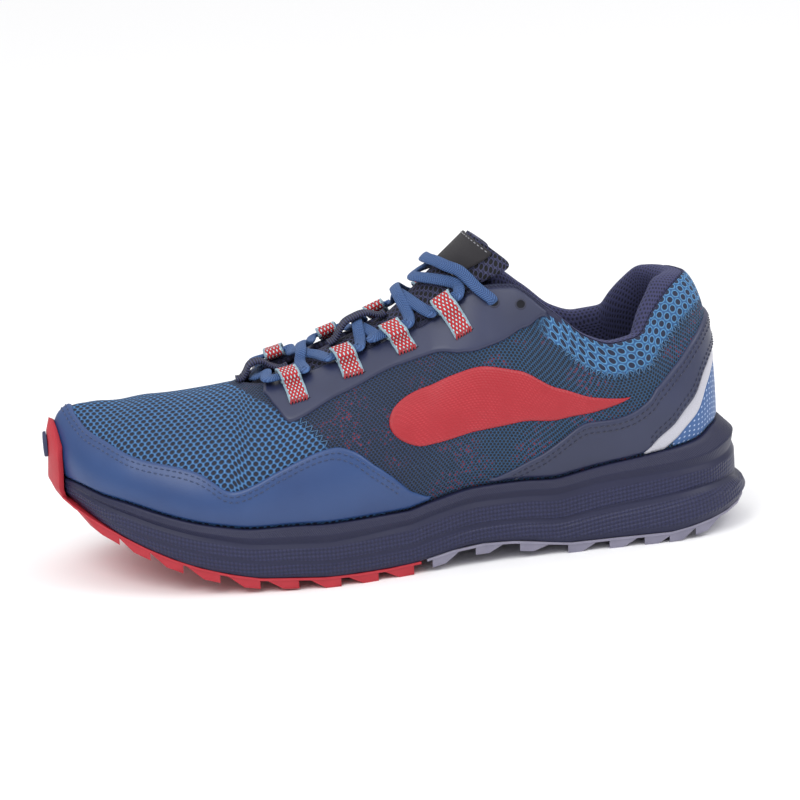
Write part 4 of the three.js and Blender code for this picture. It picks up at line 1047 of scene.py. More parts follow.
# Heel overlay: the same navy film wrapped round the heel and run down both sides, held by
# two rows of stitches along each border.
HEEL_OVERLAY = [
    (0, 0.4, 0.62),
    (0.07, 0.37, 0.588),
    (0.104, 0.335, 0.562),
    (0.136, 0.275, 0.55),
    (0.172, 0.237, 0.548),
    (0.196, 0.18, 0.53),
    (0.22, 0.12, 0.45),
    (0.25, 0.015, 0.386),
    (0.28, 0.01, 0.35),
    (0.312, 0.01, 0.335),
    (0.348, 0.01, 0.225),
    (0.376, 0.01, 0.125),
    (0.408, 0.01, 0.05),
    (0.425, 0.01, 0.03),
]
overlay_low = column(HEEL_OVERLAY, 1)
overlay_high = column(HEEL_OVERLAY, 2)
heel = film_sheet("heel_overlay_film", on_both_sides(0, 0.425), overlay_low, overlay_high, overlay_film)
join_shoe(heel, "overlay_film", "heel_overlay")
heel_rows = [border_line(on_both_sides(0, 0.4), overlay_high, -1, inset, FILM_FACE) for inset in (2.4, 4.6)]
heel_rows += [border_line(on_both_sides(0, 0.235), overlay_low, 1, inset, FILM_FACE) for inset in (2.0,
                                                                                                   4.0)]
add_stitches("heel_overlay_stitches", heel_rows, overlay_thread)

# Heel strip and patch: a band of grey reflective film under the heel overlay, and below
# it a blue coated patch printed with rows of pale slanted dashes.
STRIP_FOOT = 0.246
PATCH_COLOUR = "#365a8e"
PATCH_DASH = "#a9bbdc"
HEEL_PATCH = [
    (0, 0.01, 0.34),
    (0.07, 0.01, 0.285),
    (0.104, 0.01, 0.237),
    (0.136, 0.01, 0.165),
    (0.172, 0.01, 0.112),
    (0.196, 0.01, 0.03),
]


def reflective_film():
    """Grey film filled with fine glass beads: even, faintly sparkling."""
    material, tree = new_material("glass_bead_reflective_film")
    beads_seen = speckle(tree, 0.3, 1.0)
    tone = mixed(tree, beads_seen, "#a2a2ae", "#cfcfd8")
    return finish(material, {
        "Base Color": tone,
        "Roughness": 0.38, "Metallic": 0.25,
    }, (beads_seen, 0.05, 0.5))


def dashed_patch():
    """Coated cloth with printed dashes, 3.2 mm apart."""
    material, tree = new_material("printed_coated_cloth")
    place = kept_vector(tree, "place")
    slanted = place["X"] + place["Y"] * 0.7
    dash = lattice(slanted * 0.7, place["Y"], 2.2, 1.7)
    tone = mixed(tree, dash.ramp(0.36, 0.26), PATCH_COLOUR, PATCH_DASH)
    weave = speckle(tree, 0.4)
    return finish(material, {"Base Color": tone, "Roughness": 0.5}, (weave, 0.08, 0.6))


def strip_low(station):
    return np.maximum(overlay_low(station) - 0.05 - 0.38 * station, 0.004)


strip = film_sheet("heel_strip_film", on_both_sides(0, STRIP_FOOT), strip_low, lambda s: overlay_low(s)
                   + 0.01,
                   reflective_film(), out=0.8, middle_rows=4)
join_shoe(strip, "reflective_film", "heel_strip")
patch = film_sheet("heel_patch_film", on_both_sides(0, 0.2), column(HEEL_PATCH, 1),
                   lambda s: strip_low(s) + 0.012,
                   dashed_patch(), out=0.5, middle_rows=8)
join_shoe(patch, "patch_mesh", "heel_patch")

# Quarter panels: plain leaves of red film, heat-pressed on the mesh of both quarters, so
# that the knit shows through as a fine slanted grid.
PANEL_COLOUR = "#a01423"
PANEL_LIGHT = "#bd343f"
PANEL_START = 0.245
PANEL_END = 0.548
PANEL_HALF = 0.235


def pressed_film():
    material, tree = new_material("heat_pressed_red_film")
    place = kept_vector(tree, "place")
    rows = (place["Y"] * (2 * math.pi / 1.1)).sine()
    slant = place["X"] + place["Y"] * 0.9
    lines = (slant * (2 * math.pi / 1.7)).sine()
    grid = (rows + lines) * 0.5
    patchy = speckle(tree, 12.0)
    shown = grid.ramp(0.1, 0.9) * patchy.ramp(0.4, 0.65)
    tone = mixed(tree, shown * 0.55, PANEL_COLOUR, PANEL_LIGHT)
    return finish(material, {
        "Base Color": tone, "Roughness": 0.45, "IOR": 1.5,
        "Coat Weight": 0.1, "Coat Roughness": 0.4,
    }, (grid, 0.07, 0.8))


red_film = pressed_film()


def leaf_border(station, sign):
    """Rib of the panel's border: a leaf that is pointed at the heel and round at the front."""
    share = np.clip((station - PANEL_START) / (PANEL_END - PANEL_START), 0, 1)
    half = PANEL_HALF * share ** 0.85 * np.sqrt(1 - share ** 5)
    return 0.515 - 0.085 * np.sin(math.pi * share) + sign * half


for label, side in (("lateral", 1), ("medial", -1)):
    panel = film_sheet(f"quarter_panel_film_{label}", on_one_side(side, PANEL_START, PANEL_END, 0.0015),
                       lambda s: leaf_border(s, -1), lambda s: leaf_border(s, 1), red_film, out=0.75)
    join_shoe(panel, "panel_film", f"quarter_panel_{label}")

# Insole: foam board with a cloth face, loose inside the upper
INSOLE_EDGE = UPPER_WALL + 0.8


def make_insole():
    side, station = round_the_shoe(81)
    feather = height_of("feather", station)
    rings = []
    for lift, inset in ((0.0, 0.0), (2.6, 0.1), (3.6, 0.6), (4.0, 2.2), (3.7, 9.0)):
        x, y = outline_out(side, station, -INSOLE_EDGE - inset)
        rings.append(point(x, y, feather + lift))
    rings = np.array(rings)
    faces = closed_block(len(rings), len(side))
    place = point(rings[..., 0], rings[..., 1], 0)
    piece = add_piece("insole_board", rings, faces, lining_cloth("printed_insole_cloth", "#3a4066"),
                      {"place": place})
    weld(piece)
    join_shoe(piece, "insole_foam", "insole")


make_insole()

# Collar pad: foam under brushed cloth inside the ankle opening, rolled over its top edge
PAD_END = 0.40625
PAD_THICKNESS = 12.0
PAD_DEPTH = 36.0
PAD_GAP = 0.25
PAD_BULK = [
    # at, thick, roll
    (0, 1, 0.72),
    (0.11, 0.95, 0.72),
    (0.2, 0.62, 0.12),
    (0.42, 0.45, 0.1),
]
PAD_OUTER = [
    # down, out
    (1, 0),
    (0.6, 0),
    (0.25, 0),
    (0, 0),
    (0, 1),
]
PAD_INNER = [
    # down, up, thick
    (1, 0, 0.22),
    (0.5, 0, 0.7),
    (0.1, 0, 1),
    (0, 0.95, 0.62),
    (0, 0.8, 0.1),
]


def rib_down(side, station, distance):
    """Rib share at a distance down from the top edge."""
    side, station, distance = np.broadcast_arrays(side, station, distance)
    shares = np.linspace(1, 0, 61)
    run = run_along(rib_point(side[..., None], station[..., None], shares), side.ndim)
    flat = [np.interp(d, r, shares) for d, r in zip(distance.ravel(), run.reshape(-1, len(shares)))]
    return np.array(flat).reshape(side.shape)


def near_edge(side, station, down, out):
    """Point by its distance down from the top edge, or above it when negative."""
    side, station, down, out = np.broadcast_arrays(side, station, down, out)
    inside = skin(side, station, rib_down(side, station, np.maximum(down, 0)), out)
    upward = unit(rib_point(side, station, 1.0) - rib_point(side, station, 0.98))
    return inside + upward * np.maximum(-down, 0)[..., None]


def closed_rings(rings):
    """Faces through closed sections, with both ends closed as ladders."""
    rows, columns = rings.shape[:2]
    faces = grid_faces(rows, columns, close_columns=True)
    end = (rows - 1) * columns
    for j in range(columns // 2 - 1):
        far = columns - 1 - j
        faces.append((j, far, far - 1, j + 1))
        faces.append((end + j, end + j + 1, end + far - 1, end + far))
    return faces


def make_collar_pad():
    side, station = on_both_sides(0, PAD_END, 0.0125)
    bulk = column(PAD_BULK, 1)(station)
    roll = column(PAD_BULK, 2)(station)
    inside = -UPPER_WALL - PAD_GAP
    rails = []
    for down, out in PAD_OUTER:
        rails.append(near_edge(side, station, down * PAD_DEPTH - (PAD_GAP if down == 0 else 0), inside
                               + out * UPPER_WALL))
    for down, rise, thick in reversed(PAD_INNER):
        rails.append(near_edge(side, station, down * PAD_DEPTH - rise * roll * PAD_THICKNESS,
                               inside - thick * bulk * PAD_THICKNESS))
    rings = np.stack(rails, axis=1)
    along = run_along(rings[:, 3], 0)
    around = run_along(rings, 1)
    place = point(along[:, None], around, 0)
    piece = add_piece("collar_padding", rings, closed_rings(rings),
                      lining_cloth("padded_collar_cloth", "#34365c"),
                      {"place": place})
    weld(piece, 0.001)
    soften(piece, 2)
    join_shoe(piece, "lining_cloth", "collar_pad")


make_collar_pad()

# Tongue: a padded sheet of open spacer mesh, bent over the instep, with a thick round top
TONGUE_THICKNESS = 4.0
TONGUE = [
    # at, along, height, bend, sweep, tilt, thick
    (0, 0.712, 0.51, 0.42, 34, 20, 1),
    (0.14, 0.6685, 0.57, 0.3, 50, 21, 1),
    (0.27, 0.6231, 0.65, 0.24, 60, 22, 1),
    (0.41, 0.5705, 0.735, 0.21, 66, 23, 1),
    (0.55, 0.521, 0.81, 0.195, 70, 26, 1),
    (0.64, 0.4967, 0.865, 0.185, 72, 30, 1),
    (0.72, 0.4684, 0.955, 0.172, 76, 35, 1),
    (0.8, 0.4422, 1.055, 0.16, 82, 38, 1.1),
    (0.9, 0.4088, 1.165, 0.165, 84, 42, 1.4),
    (1, 0.3694, 1.29, 0.235, 86, 51, 1.5),
]
TONGUE_CORNER = 0.93
TONGUE_ROUND = 0.3
HEEL_FEATHER = LUG_DEPTH + SOLE_STACK * 1.05
TONGUE_HOLE = "#07080f"
TONGUE_BASE = "#25263f"
TONGUE_THREAD = "#4c4f74"
tongue_at = {}
for index, title in enumerate(("along", "height", "bend", "sweep", "tilt", "thick"), start=1):
    tongue_at[title] = column(TONGUE, index)


def tongue_point(t, turn, out):
    """Point of the tongue: t from its hidden front end to its top, turn from -1 to 1 across."""
    t, turn, out = np.broadcast_arrays(t, turn, out)
    radius = tongue_at["bend"](t) * BALL_WIDTH
    rounded = np.clip((t - TONGUE_CORNER) / (1 - TONGUE_CORNER), 0, 1)
    turn = turn * (1 - TONGUE_ROUND * (1 - np.sqrt(1 - rounded ** 2)))
    angle = np.radians(tongue_at["sweep"](t)) * turn
    tilt = np.radians(tongue_at["tilt"](t))
    lift = (radius + out) * np.cos(angle) - radius
    return point(
        -HEEL_BACK + tongue_at["along"](t) * UPPER_LENGTH + np.sin(tilt) * lift,
        top["axis"](np.float64(0.6)) * BALL_WIDTH * (1 - t) + (radius + out) * np.sin(angle),
        HEEL_FEATHER + tongue_at["height"](t) * INSTEP_HEIGHT + np.cos(tilt) * lift,
    )


def tongue_sheet(name, t, turns, out, thickness, material):
    """A sheet on the tongue, thickness below its face."""
    t = np.asarray(t)[:, None]
    turns = np.asarray(turns)[None, :]
    thick = thickness(t, turns)
    face = tongue_point(t, turns, out)
    back = tongue_point(t, turns, out - thick)[:, ::-1]
    rings = np.concatenate([face, back], axis=1)
    run = run_along(face, 0)
    across = run_along(face, 1)
    across = across - across[:, [across.shape[1] // 2]]
    place = point(run, across, 0)
    place = np.concatenate([place, place[:, ::-1]], axis=1)
    piece = add_piece(name, rings, closed_rings(rings), material, {"place": place})
    weld(piece, 0.001)
    return piece


def spacer_mesh():
    """Thick double knit with long open holes; dark, soft and dull."""
    material, tree = new_material("spacer_mesh")
    place = kept_vector(tree, "place")
    cell = lattice(place["X"], place["Y"], 3.2, 2.1)
    solid = cell.ramp(0.56, 0.72)
    tone = mixed(tree, cell.ramp(0.7, 0.9), TONGUE_THREAD, TONGUE_BASE)
    tone = mixed(tree, solid, TONGUE_HOLE, tone)
    height = solid + speckle(tree, 0.3) * 0.2
    return finish(material, {
        "Base Color": tone, "Roughness": 0.8,
        "Sheen Weight": 0.15, "Sheen Roughness": 0.45, "Sheen Tint": linear("#7478b0"),
    }, (height, 0.6, 1.0))


tongue_rows = np.concatenate([np.linspace(0, 0.93, 18), [0.955, 0.975, 0.99, 0.998, 1.0]])
tongue_turns = (-1, -0.8, -0.55, -0.28, 0, 0.28, 0.55, 0.8, 1)
tongue = tongue_sheet("tongue_padding", tongue_rows, tongue_turns, 0.0,
                      lambda t, turn: TONGUE_THICKNESS * tongue_at["thick"](t)
                      * (1 - 0.6 * np.abs(turn) ** 4), spacer_mesh())
soften(tongue, 2)
join_shoe(tongue, "tongue_mesh", "tongue")

# Tongue label: a bare patch of charcoal woven cloth, sewn down along its edges in white
LABEL_FACE = 1.1


def woven_label():
    material, tree = new_material("woven_label_cloth")
    place = kept_vector(tree, "place")
    warp = (place["X"] * (2 * math.pi / 0.7)).sine()
    weft = (place["Y"] * (2 * math.pi / 0.7)).sine()
    weave = warp * weft
    tone = mixed(tree, weave.ramp(-0.6, 0.6), "#141217", "#2c292f")
    return finish(material, {
        "Base Color": tone, "Roughness": 0.7,
        "Sheen Weight": 0.05,
    }, (weave, 0.12, 0.9))


label = tongue_sheet("label_patch", np.linspace(0.868, 0.98, 13), np.linspace(-0.34, 0.68, 25), LABEL_FACE,
                     lambda t, turn: 0.9 + 0 * t * turn, woven_label())
join_shoe(label, "label_cloth", "tongue_label")
white_thread = sewing_thread("white_polyester_thread", "#c9c9d0")
label_rows = []
for t_line, turn_line in ((np.full(40, 0.876), np.linspace(-0.31, 0.65, 40)),
                          (np.full(40, 0.972), np.linspace(-0.31, 0.65, 40))):
    line = tongue_point(t_line, turn_line, LABEL_FACE)
    label_rows.append((line, unit(tongue_point(t_line, turn_line, LABEL_FACE + 1) - line)))
label_threads = []
for line, ups in label_rows:
    label_threads += stitch_row(line, ups, 1.3, 1.1, 0.4)
bead_points, bead_faces = beads(label_threads)
label_stitches = add_piece("label_stitches", bead_points, bead_faces, white_thread)
label_stitches.data.shade_smooth()
join_shoe(label_stitches, "label_cloth")

# Lace loops: red polyester webbing with woven white dashes and grey edges, folded over
# the lace and sewn through a slot in the eyestay with a bar of red thread.
LOOPS = [
    # station, length, slant, outer seat, inner seat, enter
    (0.644, 20.5, 0.0006, 5.5, 1, 2.2),
    (0.598, 15, 0.0006, 3, 1, 1.5),
    (0.546, 12, 0.0008, 1, 1, 2.1),
    (0.487, 17.5, 0.0009, 1, 1, 1.5),
]
LOOP_WIDTH = 9.0
WEBBING = 0.8
LACE_WIDTH = 5.0
LACE_THICKNESS = 2.0
EYESTAY_TOP = 1.55
LACE_OVER = EYESTAY_TOP + GAP + WEBBING + GAP + LACE_THICKNESS / 2
LOOP_BEND = 8.0
LOOP_ON_FILM = FILM_FACE + WEBBING / 2 + 0.05
LOOP_PATH = [
    # along, bend, out
    (1, 0, LOOP_ON_FILM),
    (0.7, 0, LOOP_ON_FILM),
    (0.5, 0, LOOP_ON_FILM + 0.5),
    (0, 0.5, LACE_OVER + LACE_THICKNESS / 2 + 1.5 * WEBBING),
    (0, 0.08, LACE_OVER + LACE_THICKNESS / 2 + 1.7 * WEBBING),
    (0, -0.34, LACE_OVER + LACE_THICKNESS / 2 + 1.3 * WEBBING),
    (0, -0.56, LACE_OVER),
    (0, -0.34, EYESTAY_TOP + GAP + WEBBING / 2),
    (0, 0.33, EYESTAY_TOP + GAP + WEBBING / 2),
]
WEBBING_RED = "#c0141f"
WEBBING_DASH = "#b5dbe2"
WEBBING_EDGE = "#93aebd"
LOOP_FINE = 6


def station_step(side, station, distance):
    """Change of station over a distance along the throat edge."""
    reach = np.linalg.norm(rib_point(side, station + 0.01, 1.0) - rib_point(side, station, 1.0))
    return 0.01 * distance / reach


def smooth_path(points, fine):
    """Curve through points, with fine steps between each two."""
    points = np.asarray(points, float)
    padded = np.concatenate([[2 * points[0] - points[1]], points, [2 * points[-1] - points[-2]]])
    curve = []
    for i in range(len(points) - 1):
        a, b, c, d = padded[i:i + 4]
        for t in np.arange(fine) / fine:
            curve.append(0.5
                    * (2 * b + (c - a) * t + (2 * a - 5 * b + 4 * c - d) * t * t
                       + (3 * b - a - 3 * c + d) * t ** 3))
    curve.append(points[-1])
    return np.array(curve)


def woven_webbing():
    """Flat woven tape: five columns of dashes float over a red ground."""
    material, tree = new_material("woven_polyester_webbing")
    place = kept_vector(tree, "place")
    dash = lattice(place["Y"] * 0.5, place["X"], 1.7, 0.85)
    shown = dash.ramp(0.42, 0.32)
    edge = abs(place["X"]).ramp(LOOP_WIDTH / 2 - 1.0, LOOP_WIDTH / 2 - 0.8)
    tone = mixed(tree, speckle(tree, 0.5), WEBBING_RED, "#8f0c18")
    tone = mixed(tree, shown, tone, WEBBING_DASH)
    tone = mixed(tree, edge, tone, WEBBING_EDGE)
    ribs = (place["Y"] * (2 * math.pi / 0.65)).sine()
    height = shown * 1.2 + ribs * 0.35
    return finish(material, {
        "Base Color": tone, "Roughness": 0.6,
        "Sheen Weight": 0.05,
    }, (height, 0.2, 0.9))


def ribbon_rings(rails, thickness):
    """Closed sections of a flat band from rails across its width, one row per section."""
    rails = np.asarray(rails)
    across = np.gradient(rails, axis=0)
    along = np.gradient(rails, axis=1)
    normals = unit(np.cross(along, across))
    face = rails + normals * thickness / 2
    back = rails - normals * thickness / 2
    return np.concatenate([face.transpose(1, 0, 2), back.transpose(1, 0, 2)[:, ::-1]], axis=1)


def add_band(name, rails, half_width, thickness, material):
    """A flat band through rails, with its place across and along in millimetres."""
    rings = ribbon_rings(rails, thickness)
    count = len(rails)
    across = np.linspace(-half_width, half_width, count)
    across = np.concatenate([across, across[::-1]])
    along = run_along(np.asarray(rails)[count // 2], 0)
    place = point(across[None, :], along[:, None], 0)
    piece = add_piece(name, rings, closed_rings(rings), material, {"place": place})
    weld(piece, 0.001)
    return piece


def make_loop(side, label, row, tape, slot_material, thread):
    station, length, slant, outer_seat, inner_seat, _ = LOOPS[row]
    seat = outer_seat if side > 0 else inner_seat
    reach = station_step(side, station, LOOP_WIDTH / 2)
    rails = []
    for share in np.linspace(-1, 1, 5):
        place = station + share * reach
        path = []
        for along, bend, out in LOOP_PATH:
            down = along * length if along > 0 else seat + bend * LOOP_BEND
            path.append(near_edge(side, place - max(down, 0) * slant, down, out))
        rails.append(smooth_path(path, LOOP_FINE))
    piece = add_band(f"lace_loop_{label}_{row + 1}_webbing", rails, LOOP_WIDTH / 2, WEBBING, tape)
    join_shoe(piece, "loop_webbing", f"lace_loop_{label}_{row + 1}")
    # The slot below the loop, a dark bead of painted shade, and the bar of stitches that closes it
    ends = np.linspace(-1.28, 1.02, 5)
    foot = length + 0.1
    slot_path = np.array([near_edge(side, station + share * reach - foot * slant, foot, FILM_FACE
                                    - 0.5) for share in ends])
    up_vector = unit(near_edge(side, station, length, 3.0) - near_edge(side, station, length, 2.0))
    points, faces = beads([(slot_path, up_vector, 0.85)], 8)
    opening = add_piece(f"lace_loop_{label}_{row + 1}_slot", points, faces, slot_material)
    opening.data.shade_smooth()
    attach(opening, "root")
    threads = []
    for share in np.linspace(-0.8, 0.8, 6):
        line = station + share * reach
        start = near_edge(side, line - length * slant, length - 1.3, FILM_FACE + WEBBING)
        end = near_edge(side, line - length * slant, length + 1.0, FILM_FACE + 0.15)
        path = start + (end - start) * np.linspace(0, 1, 5)[:, None]
        path[1:4] += up_vector * np.array([0.3, 0.4, 0.3])[:, None]
        threads.append((path, up_vector, 0.5))
    points, faces = beads(threads)
    bar = add_piece(f"lace_loop_{label}_{row + 1}_stitches", points, faces, thread)
    bar.data.shade_smooth()
    join_shoe(bar, "loop_webbing")


def painted_shade_for_cuts():
    """Painted shade: a near-black, matt colour standing in for the shadow seen through a cut."""
    material, tree = new_material("shaded_cut")
    tone = mixed(tree, speckle(tree, 0.5), "#05060c", "#0d0f1c")
    return finish(material, {"Base Color": tone, "Roughness": 0.9})


loop_tape = woven_webbing()
cut_shade_material = painted_shade_for_cuts()
red_thread = sewing_thread("red_polyester_thread", "#c81c28")
for label_name, side in (("lateral", 1), ("medial", -1)):
    for row in range(len(LOOPS)):
        make_loop(side, label_name, row, loop_tape, cut_shade_material, red_thread)

# Keepers: two short ribbed tapes sewn along the middle of the tongue, arched over the lace
KEEPER_WIDTH = 8.0
TAPE = 1.2
FRONT_ARCH = [
    # back, up
    (0.5, 0.7),
    (2.6, 0.9),
    (4.4, 3),
    (6.2, 6.2),
    (9, 7.6),
    (12.5, 7.2),
]
FRONT_TAIL = [
    # t, height
    (0.125, 4),
    (0.16, 0.8),
    (0.19, GAP),
]
MIDDLE_ARCH = [
    (0.36, GAP),
    (0.39, 0.7),
    (0.445, 5),
    (0.495, 5.8),
    (0.545, 5),
    (0.6, 0.8),
    (0.63, GAP),
]


def ribbed_tape():
    material, tree = new_material("ribbed_grosgrain_tape")
    place = kept_vector(tree, "place")
    ribs = (place["Y"] * (2 * math.pi / 1.1)).sine()
    tone = mixed(tree, ribs.ramp(-0.8, 0.9), "#14162b", "#383c64")
    return finish(material, {"Base Color": tone, "Roughness": 0.65}, (ribs, 0.25, 1.0))


def make_keeper(name, points, material, replaced):
    path = smooth_path(points, 6)
    rails = [path + np.array([0, share * KEEPER_WIDTH, 0]) for share in np.linspace(-0.5, 0.5, 5)]
    piece = add_band(name, rails, KEEPER_WIDTH / 2, TAPE, material)
    join_shoe(piece, "keeper_tape", replaced)


keeper_tape = ribbed_tape()
throat_edge = rib_point(1, THROAT_FRONT, 1.0)
front_points = [throat_edge + np.array([-back, 0, rise + TAPE / 2]) for back, rise in FRONT_ARCH]
front_points += [tongue_point(t, 0, height + TAPE / 2) for t, height in FRONT_TAIL]
make_keeper("front_keeper_tape", front_points, keeper_tape, "keeper_front")
middle_points = [tongue_point(t, 0, height + TAPE / 2) for t, height in MIDDLE_ARCH]
make_keeper("middle_keeper_tape", middle_points, keeper_tape, "keeper_middle")

# Lace: one flat braided cord. It starts under the front keeper, passes from loop to loop
# across the tongue and ends in the top eyelets, where it turns inside the shoe.
LABEL_THICKNESS = 1.0
LACE_LOW = 2.0
LACE_HIGH = LACE_LOW + LACE_THICKNESS + GAP
LACE_ON_LABEL = GAP + LABEL_THICKNESS + 5 * GAP + LACE_THICKNESS / 2
CROSSINGS = [
    # t, turn, spread, lift
    (0.265, 0.36, 0.035, 1.2),
    (0.495, 0.5, 0.03, 0),
    (0.705, 0.6, 0.02, 1.2),
]
LACE_UNDER_END = [
    # t, turn, height
    (0.865, 0.8, LACE_LOW + 1),
    (0.835, 0.55, LACE_LOW + 0.5),
    (0.795, 0.25, LACE_LOW + 1),
    (0.775, 0, LACE_LOW + 2),
    (0.825, -0.3, LACE_LOW),
    (0.885, -0.66, LACE_LOW + 0.6),
]
LACE_OVER_END = [
    (0.87, 0.8, LACE_LOW + 1),
    (0.862, 0.55, LACE_LOW + 1.4),
    (0.852, 0.25, LACE_HIGH + 0.6),
    (0.85, 0, LACE_HIGH + 0.8),
    (0.868, -0.26, LACE_ON_LABEL + 0.6),
    (0.882, -0.48, LACE_ON_LABEL + 0.5),
    (0.9, -0.68, LACE_ON_LABEL + 0.4),
]
EYELET_STATION = 0.428
EYELET_RIB = 0.9
SPARE_STATION = 0.388
LACE_SIDES = 16
LACE_FINE = 9
LACE_COLOUR = "#2d4d82"
LACE_RIB_HIGHLIGHT = "#5176ab"


def on_tongue(t, turn, height):
    place = tongue_point(t, turn, height)
    return place, tongue_point(t, turn, height + 1) - place


def through_loop(side, row, share):
    station, _, slant, outer_seat, inner_seat, _ = LOOPS[row]
    seat = outer_seat if side > 0 else inner_seat
    station = station + share * station_step(side, station, LOOP_WIDTH / 2) - seat * slant
    place = near_edge(side, station, seat, LACE_OVER)
    return place, near_edge(side, station, seat, LACE_OVER + 1) - place


def lace_path(first_side, over):
    """One half of the lace; over says at which crossings it lies on the other half."""
    path = [on_tongue(0.055, -0.04 * first_side, LACE_LOW + 0.6),
            on_tongue(0.07, 0.14 * first_side, LACE_LOW + 1.4)]
    path.append(on_tongue(0.1, 0.26 * first_side, LACE_LOW + 3.4))
    for row, loop in enumerate(LOOPS):
        side = first_side if row % 2 == 0 else -first_side
        for share in (loop[5], 1, -1.15, -1.65):
            path.append(through_loop(side, row, share))
        if row == len(CROSSINGS):
            break
        t, turn, spread, lift = CROSSINGS[row]
        height = (LACE_HIGH if over[row] else LACE_LOW) + lift
        path.append(on_tongue(t - spread, turn * side, LACE_LOW + 1 + lift / 2))
        path.append(on_tongue(t - spread / 4, 0.18 * side, height))
        path.append(on_tongue(t + spread / 4, -0.18 * side, height))
        path.append(on_tongue(t + spread, -turn * side, LACE_LOW + 1 + lift / 2))
    for t, turn, height in LACE_OVER_END if over[-1] else LACE_UNDER_END:
        path.append(on_tongue(t, -turn * first_side, height))
    over_film = FILM_FACE + LACE_THICKNESS / 2
    for station, rib, lift in ((0.45, 1, 1.4), (0.444, 0.96, 0.6), (0.432, 0.915, 0.0),
                               (EYELET_STATION, 0.895, -2.2)):
        path.append((skin(first_side, station, rib, over_film + lift),
                     rib_normal(first_side, station, rib)))
    return path


def braided_cord():
    """Flat braid: fine slanted ribs from both edges, softly shining."""
    material, tree = new_material("braided_polyester_cord")
    place = kept_vector(tree, "place")
    slanted = place["X"] + abs(place["Y"]) * 0.5
    ribs = (slanted * (2 * math.pi / 0.95)).sine()
    cross = (place["Y"] * (2 * math.pi / 0.8)).sine()
    height = ribs + cross * 0.4
    # Painted highlight and shade: the braid's raised ribs are painted lighter and its grooves darker,
    # following the bump.
    tone = mixed(tree, height.ramp(-1.0, 1.3), "#1f3a68", LACE_RIB_HIGHLIGHT)
    tone = mixed(tree, 0.45, tone, LACE_COLOUR)
    return finish(material, {
        "Base Color": tone, "Roughness": 0.6,
        "Sheen Weight": 0.15, "Sheen Roughness": 0.4, "Sheen Tint": linear("#a8c4ee"),
    }, (height, 0.16, 0.9))


def evened(points, passes):
    """Points with each one drawn a little towards its neighbours."""
    points = points.copy()
    for _ in range(passes):
        points[1:-1] = points[1:-1] * 0.5 + (points[:-2] + points[2:]) * 0.25
    return points


def make_lace_half(name, first_side, over, material):
    path = lace_path(first_side, over)
    centres = evened(smooth_path([place for place, _ in path], LACE_FINE), 6)
    ups = evened(smooth_path([unit(normal) for _, normal in path], LACE_FINE), 12)
    runs = unit(np.gradient(centres, axis=0))
    across = unit(np.cross(runs, ups))
    ups = np.cross(across, runs)
    angle = np.arange(LACE_SIDES) * 2 * np.pi / LACE_SIDES
    wide = np.sign(np.cos(angle)) * np.abs(np.cos(angle)) ** 0.75 * LACE_WIDTH / 2
    high = np.sign(np.sin(angle)) * np.abs(np.sin(angle)) ** 0.8 * LACE_THICKNESS / 2
    rings = centres[:, None] + across[:, None] * wide[None, :, None] + ups[:, None] * high[None, :, None]
    along = run_along(centres, 0)
    place = point(along[:, None], wide[None, :], 0)
    faces = grid_faces(len(rings), LACE_SIDES, close_columns=True)
    end = (len(rings) - 1) * LACE_SIDES
    faces.append(tuple(reversed(range(LACE_SIDES))))
    faces.append(tuple(end + j for j in range(LACE_SIDES)))
    piece = add_piece(name, rings, faces, material, {"place": place})
    weld(piece, 0.001)
    join_shoe(piece, "lace_cord")
    return piece


cord = braided_cord()
first_half = make_lace_half("lace_first_half", 1, (True, False, True, True), cord)
second_half = make_lace_half("lace_second_half", -1, (False, True, False, False), cord)
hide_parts("lace")
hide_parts("lace")

# Eyelets: punched through the eyestay, their edges pressed up a little. The upper one of
# each pair is free, the lower one takes the lace.
EYELET_RADIUS = 2.0


def make_eyelet(name, side, station, rib, radius):
    centre = skin(side, station, rib, FILM_FACE)
    normal = rib_normal(side, station, rib)
    along = unit(np.cross(normal, rib_point(side, station, rib + 0.01) - rib_point(side, station, rib)))
    upwards = np.cross(along, normal)
    angle = np.arange(24) * 2 * np.pi / 24
    rings = []
    for share, lift in ((0.02, 0.06), (0.8, 0.06), (0.88, 0.16), (1.0, 0.22), (1.18, 0.12), (1.3, -0.1)):
        circle = along[None, :] * np.cos(angle)[:, None] + upwards[None, :] * np.sin(angle)[:, None]
        rings.append(centre + circle * radius * share + normal * lift)
    # The inner rings fill the hole with painted shade; the raised rim takes the navy thread.
    piece = add_piece(name, np.array(rings), grid_faces(len(rings), 24, close_columns=True), cut_shade_material)
    piece.data.materials.append(overlay_thread)
    for face in piece.data.polygons:
        if min(face.vertices) >= 48:
            face.material_index = 1
    piece.data.shade_smooth()
    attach(piece, "root")


for label_name, side in (("lateral", 1), ("medial", -1)):
    make_eyelet(f"spare_eyelet_{label_name}", side, SPARE_STATION, EYELET_RIB, EYELET_RADIUS)
    make_eyelet(f"lace_eyelet_{label_name}", side, EYELET_STATION, EYELET_RIB, EYELET_RADIUS * 1.1)

# Toe badge: a bare moulded rubber disc with a raised rim on the toe bumper
BADGE_HEIGHT = 11.0
BADGE_WIDTH = 9.0
BADGE_OUT = 4.35
BADGE_RIB = 0.28


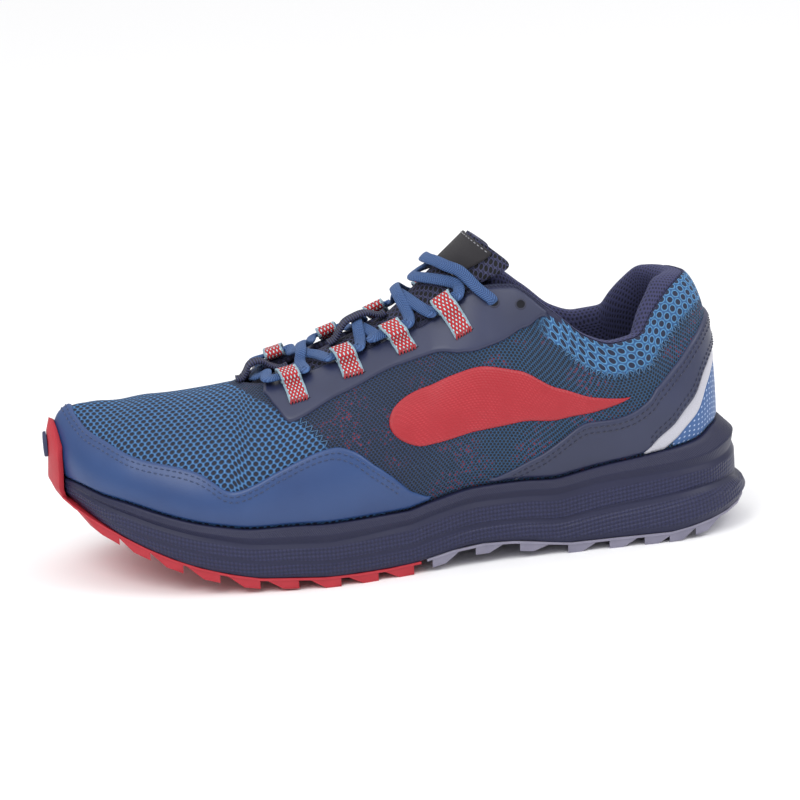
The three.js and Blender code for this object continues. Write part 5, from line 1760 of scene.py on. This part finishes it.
def make_badge():
    centre = skin(1, 1.0, BADGE_RIB, BADGE_OUT - 0.4)
    normal = rib_normal(1, 1.0, BADGE_RIB)
    beside = np.array([0.0, 1.0, 0.0])
    upwards = unit(np.cross(normal, beside))
    angle = np.arange(40) * 2 * np.pi / 40
    rings = []
    for share, lift in ((0.01, 0.95), (0.55, 0.9), (0.78, 0.8), (0.84, 1.2), (0.93, 1.3), (1.0, 1.0),
                        (1.0, 0.0)):
        circle = beside[None, :] * np.cos(angle)[:, None] * BADGE_WIDTH / 2
        circle = circle + upwards[None, :] * np.sin(angle)[:, None] * BADGE_HEIGHT / 2
        rings.append(centre + circle * share + normal * lift)
    piece = add_piece("toe_badge_disc", np.array(rings), grid_faces(len(rings), 40, close_columns=True),
                      moulded_rubber("dark_rubber_badge", "#232a48", "#37406a"))
    weld(piece, 0.001)
    join_shoe(piece, "badge_rubber", "toe_badge")


make_badge()

# Seam threads: the knits are joined by zig-zags of pale blue thread, where the vamp meets
# the quarters and under the large cells of the collar.
ZIGZAG_WIDTH = 2.6
ZIGZAG_PITCH = 1.5


def zigzag(points, normals, width, pitch):
    """Threads that go from side to side along a line."""
    centres, ups = evenly(points, normals, pitch)
    runs = unit(np.gradient(centres, axis=0))
    beside = np.cross(ups, runs)
    swing = np.where(np.arange(len(centres)) % 2 == 0, 0.5, -0.5)[:, None] * width
    corners = centres + beside * swing + ups * 0.15
    threads = []
    for start, end, up_vector in zip(corners[:-1], corners[1:], ups):
        path = start + (end - start) * np.linspace(0, 1, 5)[:, None]
        threads.append((path, up_vector, 0.22))
    return threads


def seam_station(rib):
    return VAMP_SEAM + rib * VAMP_SEAM_LEAN


pale_thread = sewing_thread("pale_blue_thread", "#4f86b8")
for label_name, side in (("lateral", 1), ("medial", -1)):
    ribs = np.linspace(0.42, 0.66, 40)
    seam = skin(side, seam_station(ribs), ribs, 0.1)
    threads = zigzag(seam, rib_normal(side, seam_station(ribs), ribs), ZIGZAG_WIDTH, ZIGZAG_PITCH)
    stations = np.linspace(0.06, 0.34, 90)
    band = np.full(len(stations), COLLAR_BAND_MM)
    band_ribs = rib_down(side, stations, band)
    threads += zigzag(skin(side, stations, band_ribs, 0.1), rib_normal(side, stations, band_ribs), 3.4, 1.3)
    bead_points, bead_faces = beads(threads, 5)
    seam_piece = add_piece(f"knit_seams_{label_name}", bead_points, bead_faces, pale_thread)
    seam_piece.data.shade_smooth()
    join_shoe(seam_piece, "upper_mesh")
